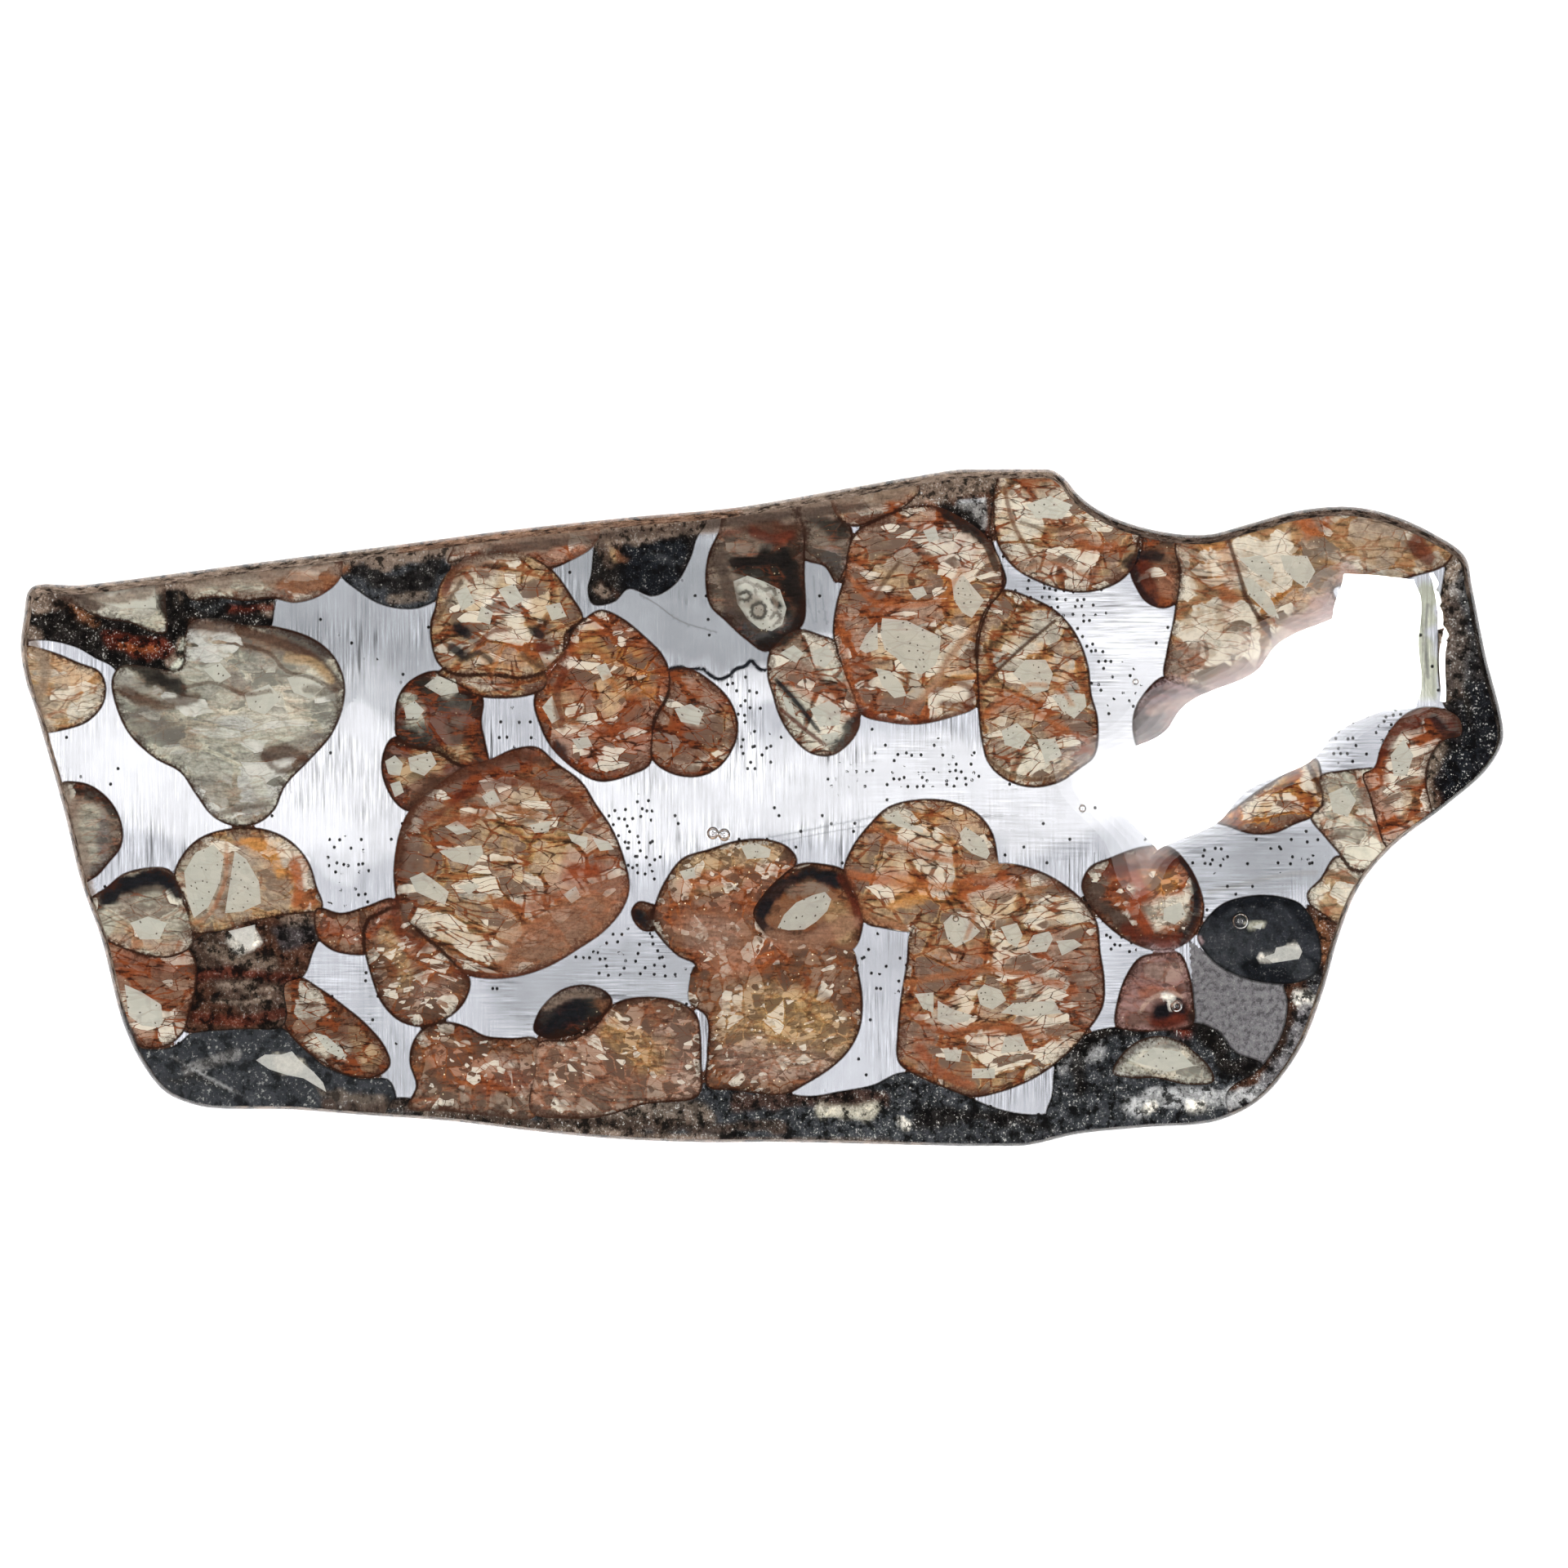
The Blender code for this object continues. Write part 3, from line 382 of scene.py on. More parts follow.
# Each grain's ground colour, then brush strokes over it: colour, radius in pixels, strength, path. In
# crust_bottom, the silver stroke along 1400-1480,1350 is grey crust with a painted sheen of the coat's edge.
TONES = tones_of("""
olivine_large_left olive_tan
 maroon 26 0.9  500,1100 487,1050 505,995 560,950 640,925
 red_rust 34 0.6  560,960 640,940 700,965 745,1030 760,1080
 golden 70 0.5  600,1080 640,1060
 rust 45 0.75  640,1130 700,1100 750,1090
 red_rust 24 0.8  705,1060 750,1075
 brown 36 0.8  560,1180 640,1180 720,1140
 rust 14 0.6  520,1060 570,1000 620,965
 tan 40 0.4  560,1120 600,1140
olivine_round_top tan
 rust 26 0.8  1035,700 1070,735 1120,750 1170,690 1150,640
 rust 20 0.9  1024,752 1030,800 1044,850 1080,876 1130,880
 black 11 0.9  1158,618 1178,628 1196,644 1212,668
 mauve 26 0.6  1104,660 1150,668 1172,684
 rust 24 0.8  1070,735 1040,790 1060,860 1110,875
 red_rust 18 0.6  1045,670 1080,640 1150,628 1205,665 1222,710
 amber 26 0.6  1160,720 1190,790 1185,850
 grey_brown 30 0.6  1080,665 1125,680
 brown 14 0.8  1145,852 1185,856
 dark_brown 14 0.8  1165,630 1200,655
 rust 10 0.7  1030,800 1070,760 1100,745
olivine_twin_lower_right tan
 rust 15 0.85  1042,1072 1100,1082 1160,1092 1230,1078
 amber 18 0.7  1100,1095 1160,1100
 rose 50 0.7  1290,1180 1325,1215
 red_rust 30 0.6  1115,1250 1140,1310
 rust 28 0.65  1110,1200 1160,1190 1210,1180 1300,1200
 rust 22 0.6  1130,1270 1200,1262 1290,1270
 red_rust 12 0.7  1240,1065 1300,1085 1338,1130 1345,1180
 amber 26 0.5  1140,1000 1180,1010
 rust 12 0.6  1060,1020 1120,1040 1200,1052
 rust 12 0.6  1180,1100 1200,1170 1160,1230 1180,1330
olivine_spotted tan
 black 12 0.95  560,765 575,775
 black 11 0.95  556,790 566,800
 dark_brown 12 0.9  660,770 655,795 672,790
 white 18 0.8  610,735 640,740
 pale 24 0.7  560,730 600,700
 amber 20 0.9  600,804 632,800
 brown 10 0.7  545,720 575,690 640,688
 rust 10 0.8  585,790 610,780 650,800
 grey_brown 12 0.5  540,780 548,810
 pale 9 0.8  575,840 620,844
 rust 8 0.6  600,830 660,835
olivine_rust_oval rust
 golden 26 0.7  720,790 740,830
 tan 24 0.7  690,860 700,880
 amber 20 0.8  770,800 790,850
 golden 14 0.7  735,870 760,850
 red_rust 16 0.8  700,915 760,930 792,900
 maroon 10 0.7  670,900 720,945 780,940
olivine_rust_small brown
 red_rust 16 0.8  830,880 880,870
 pale 12 0.8  845,870 862,878
 rust 12 0.8  825,840 870,850
 tan 14 0.7  885,880 880,925
 pale 10 0.7  850,940 870,935
 maroon 12 0.8  812,900 850,905
olivine_dark_pair maroon
 black 13 0.95  510,845 540,862 585,858
 black 14 0.95  492,895 520,898
 pale 16 0.9  545,838 555,845
 grey_green 13 0.9  498,862 506,878
 dark_brown 20 0.9  560,900 585,920
 tan 18 0.8  495,940 530,935
 brown 14 0.7  500,972 540,955
 tan 10 0.6  510,918 570,930
olivine_linked_left brown
 rust 20 0.6  500,1140 540,1190
 tan 14 0.6  475,1150 500,1200
 pink_grey 16 0.5  520,1220 545,1215
 red_rust 14 0.7  400,1130 440,1140 480,1115
 dark_brown 10 0.7  455,1180 480,1235 530,1250
olivine_rust_top rust
 dark_brown 14 0.8  560,675 600,660 640,655
 brown 12 0.6  650,655 720,650
olivine_pale_left grey_green
 brown 16 0.7  235,780 280,775 330,790 380,800
 dark_brown 12 0.8  340,772 370,780 395,795
 black 10 0.7  240,770 250,800
 dark_brown 14 0.6  150,840 190,845 215,830
 pale 34 0.7  290,860 350,870
 pale 26 0.7  320,820 380,840
 grey_brown 20 0.6  180,880 230,910
 grey_brown 16 0.7  330,930 370,920 395,900
 grey_brown 22 0.6  250,960 300,980 320,995
 brown 12 0.6  280,820 300,850
olivine_amber_left tan
 grey_green 34 0.8  240,1060 260,1100
 pale 22 0.6  290,1050 300,1080
 amber 20 0.8  320,1030 345,1055 340,1075
 rust 18 0.8  370,1055 372,1100
 brown 10 0.6  300,1020 290,1060 275,1120
olivine_black_capped grey_green
 black 17 0.97  120,1098 150,1085 180,1078 212,1086
 tan 16 0.6  150,1145 200,1160
 rust 10 0.5  140,1150 220,1165
olivine_half_moon grey_brown
 black 12 0.9  80,965 110,968 140,995
 grey 18 0.5  115,1020 110,1050
 grey_green 16 0.6  100,1000 100,1040
olivine_rust_left umber
 brown 44 0.5  140,1160 200,1200 220,1270
 pale 16 0.9  165,1225 185,1245
 red_rust 18 0.6  150,1180 220,1190
 brown 14 0.7  200,1270 225,1240
olivine_brown_left dark_brown
 dark_bark 40 0.8  260,1170 300,1200 340,1230
 bark 5 0.9  270,1208 310,1204
 bark 4 0.9  262,1224 300,1228 330,1222
 bark 4 0.7  300,1214 336,1210
 bark 9 0.7  352,1130 378,1122
 white 12 0.9  292,1150 305,1150
 charcoal 18 0.7  350,1150 380,1140
 maroon 8 0.7  240,1195 300,1190 360,1200
 maroon 8 0.6  240,1245 300,1250 345,1240
 grey_brown 12 0.5  260,1165 330,1180
olivine_oblong brown
 dark_brown 40 0.4  350,1230 400,1270 450,1310
 pale 12 0.8  385,1268 420,1290
 tan 12 0.7  430,1265 460,1300
 brown 10 0.7  350,1215 360,1260
olivine_tan_left tan
 amber 14 0.5  60,820 100,840
 pale 16 0.5  70,870 110,865
olivine_corner grey_green
 pale 24 0.7  130,730 170,735
 brown 9 0.6  80,722 150,708 195,705
olivine_sliver_top grey_green
 rust 14 0.85  345,722 400,705 412,695
 brown 10 0.6  235,705 300,696 400,684
 dark_brown 8 0.7  290,730 350,732
olivine_hexagon grey_brown
 red_rust 18 0.7  900,640 950,635 965,660
 black 24 0.97  925,695 955,690 965,735
 charcoal 14 0.9  900,760 938,785 972,760
 dark_brown 10 0.8  972,640 980,700 975,760
 white 12 0.95  918,722 940,735 945,758
olivine_top_strip olive_tan
 brown 14 0.8  1025,605 1060,625
 tan 12 0.7  1080,600 1115,595
 rust 8 0.7  1040,635 1080,625 1112,610
olivine_grey_top grey_brown
 black 14 0.85  985,625 1010,640 1025,655
 grey 12 0.4  1010,680 1025,690
olivine_pair_centre grey_green
 brown 14 0.7  960,790 1000,785
 rust 20 0.9  965,825 1005,845 1040,868
 pink_grey 13 0.7  1000,805 1018,800
 black 6 0.95  955,838 985,872 1003,896
 black 9 0.9  1048,880 1038,900 1025,912
 pale 14 0.8  1000,905 1020,880
olivine_double_right tan
 black 4 0.95  1290,760 1248,795 1205,835
 rust 12 0.8  1205,868 1240,858 1285,885 1330,905
 grey_green 30 0.6  1235,915 1280,925
 grey 16 0.7  1325,880 1322,935
 amber 20 0.6  1270,800 1310,820
 brown 12 0.6  1215,745 1260,745
 rust 10 0.6  1235,870 1280,855 1320,840
olivine_tan_top tan
 pale 26 0.7  1255,622 1300,622
 rust 18 0.7  1305,655 1355,680
 brown 10 0.6  1225,660 1270,700 1340,712
 brown 10 0.6  1330,610 1380,650
 grey_brown 14 0.5  1250,590 1300,590
 rose 18 0.5  1290,690 1330,700
olivine_great_right olive_tan
 bark 70 0.3  1480,700 1540,760 1500,820
 black 3 0.8  1502,665 1510,690 1520,720 1530,742 1550,765 1572,800
 rust 16 0.6  1500,690 1512,745
 amber 20 0.6  1480,670 1490,700
 amber 6 0.8  1545,745 1560,732 1590,730 1615,742
 amber 16 0.6  1625,690 1655,705
 pale 8 0.7  1620,675 1690,705
 rust 16 0.7  1590,640 1615,655
 dark_brown 10 0.7  1600,627 1640,625
 dark_brown 10 0.7  1660,632 1700,636
 dark_brown 14 0.6  1735,665 1758,685
 pink_grey 22 0.7  1440,815 1465,800
 grey_brown 20 0.4  1500,800 1560,810
 olive_tan 20 0.5  1460,740 1480,770
 mauve 22 0.8  1490,846 1540,832 1572,806 1606,792 1634,752
olivine_violet_right violet
 grey 14 0.5  1400,890 1440,880
 brown 8 0.4  1430,840 1480,855
olivine_brown_small brown
 black 12 0.9  1395,690 1395,715
 black 8 0.8  1400,660 1440,662
 pale 5 0.8  1405,652 1440,652
 rust 10 0.7  1425,700 1430,725
olivine_crescent_right rust
 maroon 10 0.9  1685,935 1700,905 1720,882 1760,875
 pale 18 0.8  1715,910 1715,960 1720,990
 tan 14 0.7  1735,930 1730,1000
 dark_brown 12 0.7  1760,890 1775,895
olivine_pale_right grey_green
 rust 5 0.8  1662,945 1675,990 1690,1025
 tan 14 0.7  1630,960 1650,990
 tan 22 0.8  1640,1080 1630,1110
 rust 10 0.6  1615,990 1640,1040
 brown 10 0.6  1640,1060 1665,1080
olivine_amber_right amber
 dark_brown 6 0.8  1500,1008 1540,1018 1565,1016
 dark_brown 5 0.7  1600,940 1605,985
 rust 10 0.7  1560,985 1600,990
 golden 14 0.7  1540,990 1580,965
olivine_dark_oval charcoal
 slate 60 1  1480,1150 1600,1150
 charcoal 22 0.9  1478,1150 1500,1165 1524,1160
 ink 9 0.9  1490,1120 1530,1104 1580,1106 1606,1136
 ink 12 0.9  1530,1190 1580,1194 1604,1180
 white 7 0.95  1546,1172 1566,1170 1584,1160
 grey_green 5 0.9  1530,1134 1544,1131
olivine_brown_round rust
 maroon 16 0.85  1332,1085 1360,1055 1440,1045
 dark_brown 22 0.9  1340,1080 1345,1110 1380,1140 1430,1158
 dark_bark 14 0.8  1344,1078 1352,1100
 amber 18 0.7  1400,1062 1432,1080
 red_rust 12 0.8  1372,1090 1404,1104
 pale 20 0.95  1420,1120 1440,1112
 black 7 0.95  1436,1042 1456,1064 1462,1092 1460,1120 1448,1140
olivine_rose rose
 dark_brown 12 0.7  1380,1250 1455,1248
 rust 12 0.5  1400,1215 1440,1220
 pink_grey 14 0.6  1410,1185 1435,1185
olivine_pale_lower_right grey_green
 pale 24 0.8  1410,1292 1440,1298
 charcoal 7 0.6  1370,1300 1395,1280 1440,1278
olivine_hooked brown
 black 9 0.95  930,1120 940,1096 962,1074 995,1064 1030,1074
 tan 16 0.5  1020,1110 1035,1140
 grey_brown 9 0.8  975,1095 1010,1080
 dark_brown 7 0.8  945,1142 985,1146 1010,1135
olivine_body_centre brown
 tan 34 0.8  850,1060 930,1045
 rust 12 0.8  835,1075 890,1068 975,1060
 rust 24 0.7  830,1110 890,1120 925,1090
 rust 18 0.8  862,1170 920,1180 950,1165
 pink_grey 24 0.6  850,1140 890,1150
 tan 54 0.7  930,1250 1000,1270
 golden 30 0.45  945,1250 1000,1240
 pink_grey 26 0.6  900,1300 1000,1310
 brown 16 0.5  1035,1190 1045,1250
 black 15 0.95  785,1118 795,1125
olivine_dark_lens black
 grey_brown 13 0.7  668,1240 680,1228
 brown 10 0.8  728,1222 740,1225
 grey 6 0.7  672,1222 705,1209 742,1212
olivine_golden_lower umber
 golden 26 0.5  755,1270 800,1290
 umber 26 0.7  700,1300 740,1310
 brown 20 0.5  770,1235 830,1240
 pink_grey 22 0.5  820,1270 840,1320
 grey_brown 18 0.6  680,1350 800,1345
olivine_brown_lower brown
 dark_brown 14 0.85  515,1262 550,1256 590,1270
 rust 24 0.6  540,1300 600,1310
 pink_grey 20 0.5  620,1300 645,1320
 grey_brown 18 0.6  520,1340 640,1355
 red_rust 12 0.5  600,1330 655,1310
vein_upper_left black
 maroon 13 0.8  140,785 175,795 205,800
 brown 10 0.7  80,745 120,765
 charcoal 14 0.6  240,742 300,745
 grey_brown 7 0.6  215,710 218,740
inclusion_top_left charcoal
 black 14 0.9  440,700 500,715 535,690
 dark_brown 9 0.7  430,680 540,665
 grey_brown 7 0.6  480,735 520,730
inclusion_top black
 charcoal 14 0.7  790,690 820,680
 brown 10 0.8  740,660 760,680
 tan 5 0.7  745,665 750,685
 dark_brown 10 0.8  735,715 750,725
 amber 12 0.6  790,645 850,635
crust_top dark_brown
 grey 12 0.8  1175,620 1198,622
 grey_brown 14 0.7  1180,590 1215,595
 rust 9 0.6  1125,605 1150,612
 maroon 9 0.7  1200,650 1222,700
crust_right grey_brown
 grey 18 0.7  1785,720 1785,780 1790,840
 black 34 0.95  1815,860 1812,920 1780,965
 dark_brown 14 0.8  1762,960 1760,990
crust_lower_right dark_brown
 white 10 0.9  1582,1214 1594,1212
 black 18 0.7  1590,1240 1570,1290
 brown 9 0.7  1620,1140 1622,1180
 grey_brown 10 0.6  1600,1260 1560,1320
crust_bottom charcoal
 grey_brown 16 0.7  520,1365 700,1375 860,1360
 pale 12 0.8  1015,1362 1065,1360
 white 6 0.9  1104,1372 1110,1378
 black 18 0.9  1130,1370 1200,1380 1285,1385
 silver 18 0.7  1400,1350 1480,1345
 silver 12 0.6  1310,1300 1345,1290
 black 10 0.9  1300,1290 1340,1268 1400,1262
 black 9 0.9  1470,1262 1500,1300 1530,1310
 dark_brown 12 0.7  900,1345 990,1350 1080,1340
crust_corner charcoal
 pale 12 0.9  335,1305 365,1310
 grey 8 0.7  230,1310 290,1290
 black 14 0.7  200,1320 280,1340
 grey_brown 9 0.6  400,1340 460,1345
""")

# The metal's ground colour where it isn't bright steel, and the brush strokes over all of the metal. The
# broad pale_steel strokes across the middle are a painted highlight band, and the broad steel_grey strokes at
# the top, the bottom and the lower right are painted shade; the thin lines are scratches. Metal_grey_right's
# dark_grey ground is partly painted shade.
METAL_TONES = {"metal_grey_right": "dark_grey"}
METAL_STROKES = strokes_of("""
pale_steel 56 0.85  680,990 800,1000 940,980 1100,965 1250,940
pale_steel 60 0.9  120,900 220,980 330,1020 420,960 450,860
pale_steel 60 0.9  1260,1000 1330,960 1390,880 1390,800
steel_grey 34 0.9  780,712 850,700 900,740 880,786 930,800 800,760
steel_grey 20 0.9  730,690 740,708
pale_steel 22 0.9  890,845 930,840
steel_grey 18 0.3  1000,700 1004,760
pale_steel 5 0.9  990,777 1016,779
dark_grey 1.5 0.8  996,706 1000,762
dark_grey 1.5 0.8  1004,712 1012,764
dark_grey 1.5 0.6  990,736 996,762
steel_grey 90 0.75  360,700 520,740 760,700 960,720
steel_grey 60 0.5  330,800 480,830
pale_steel 70 0.7  60,900 200,960 330,930 460,1000
pale_steel 60 0.7  720,960 860,980 1000,950 1300,960
pale_steel 40 0.6  860,860 900,940
steel_grey 60 0.5  720,700 800,760 900,790
steel_grey 70 0.3  350,740 480,800 460,900
steel_grey 40 0.45  1225,735 1300,735
steel_grey 60 0.35  1480,1060 1620,1050
steel_grey 40 0.4  470,1200 480,1320
dark_grey 1.5 0.6  784,728 804,740 832,760 876,774
sage 18 0.95  1742,724 1740,790 1744,846
dark_grey 1.8 0.7  1728,726 1731,790 1735,846
dark_grey 1.8 0.6  1748,740 1744,780 1748,830
pale_steel 44 0.7  1335,745 1420,790
pale_steel 30 0.6  440,880 450,960 420,1060
steel_grey 44 0.6  640,1215 760,1190 830,1190
steel_grey 40 0.5  1480,1070 1600,1050
silver 4 0.6  1480,1092 1580,1070 1610,1068
steel_grey 1.6 0.6  880,1034 960,1022 1040,1006 1130,990
steel_grey 1.4 0.5  930,1036 1020,1018 1110,1004
""")
# Where the metal is pitted, where it's smooth, and where its scratches run along the slice
PITTED = strokes_of("""
34 1  740,1165 850,1165
30 1  775,1000 785,1050
26 1  1110,940 1180,940
34 1  1240,735 1330,740
30 1  1060,1180 1100,1200
24 1  1480,1050 1600,1050
34 1  1640,910 1700,900
60 1  1470,1230 1560,1260
30 0.8  1310,790 1400,860
26 0.8  905,850 930,920
24 0.8  430,1040 420,1090
20 0.8  1020,960 1060,950
22 0.8  620,870 640,900
18 0.8  1360,1140 1380,1160
""")
# Some smooth strokes lie along the middle band, where leaving out the scratches' darkening adds to the
# painted highlight band
SMOOTH = strokes_of("""
40 0.9  770,700 850,690 900,740 880,786 930,800 800,760
50 0.7  340,720 420,700 470,740
30 0.8  730,690 740,708
60 0.7  100,880 220,960 330,1020 440,1060
70 0.6  1280,980 1380,900
34 0.6  780,1000 900,980 1100,960 1250,930
""")
ACROSS = strokes_of("""
110 1  1330,700 1420,800 1400,900
90 1  1480,1060 1660,920
60 1  1350,1150 1370,1230
40 0.7  400,1180 440,1230
70 0.9  640,1210 800,1190
60 0.7  1100,950 1300,1000
""")

# Weathering and details that run over the slab's pieces and their borders: colour, radius, strength, path
WEATHERING = strokes_of("""
bark 11 0.9  50,742 150,726 300,706 430,690 560,676
bark 15 0.9  560,678 700,660 840,645 960,630 1060,612 1180,592
dark_bark 5 0.8  60,736 180,718 320,698 430,686
dark_bark 6 0.8  600,676 700,664 820,650 900,640 1000,628 1060,622
bark 9 0.8  44,770 56,880 78,980 104,1080 126,1160
dark_bark 7 0.8  66,742 92,736 118,744
dark_bark 8 0.9  738,672 746,690
dark_bark 10 0.8  888,680 894,720 906,760
dark_bark 6 0.9  1300,590 1340,622 1390,648 1450,652 1500,652 1560,640
dark_bark 6 0.9  1560,640 1610,627 1660,624 1710,632 1750,650 1785,672
ink 2.6 1  818,820 832,817 846,820 860,819 870,827 880,832 894,827
ink 2.8 1  894,827 900,820 912,816 920,809 926,816 934,821 944,819
charcoal 14 0.9  120,1180 140,1240 170,1300 220,1336 320,1348 420,1354
bark 8 0.85  470,1366 520,1370 720,1388 900,1396 1100,1400
dark_bark 9 0.85  400,1350 560,1360 700,1370 860,1378 960,1382
charcoal 12 0.85  1100,1392 1250,1388 1400,1380 1520,1360 1590,1300 1630,1200
""")
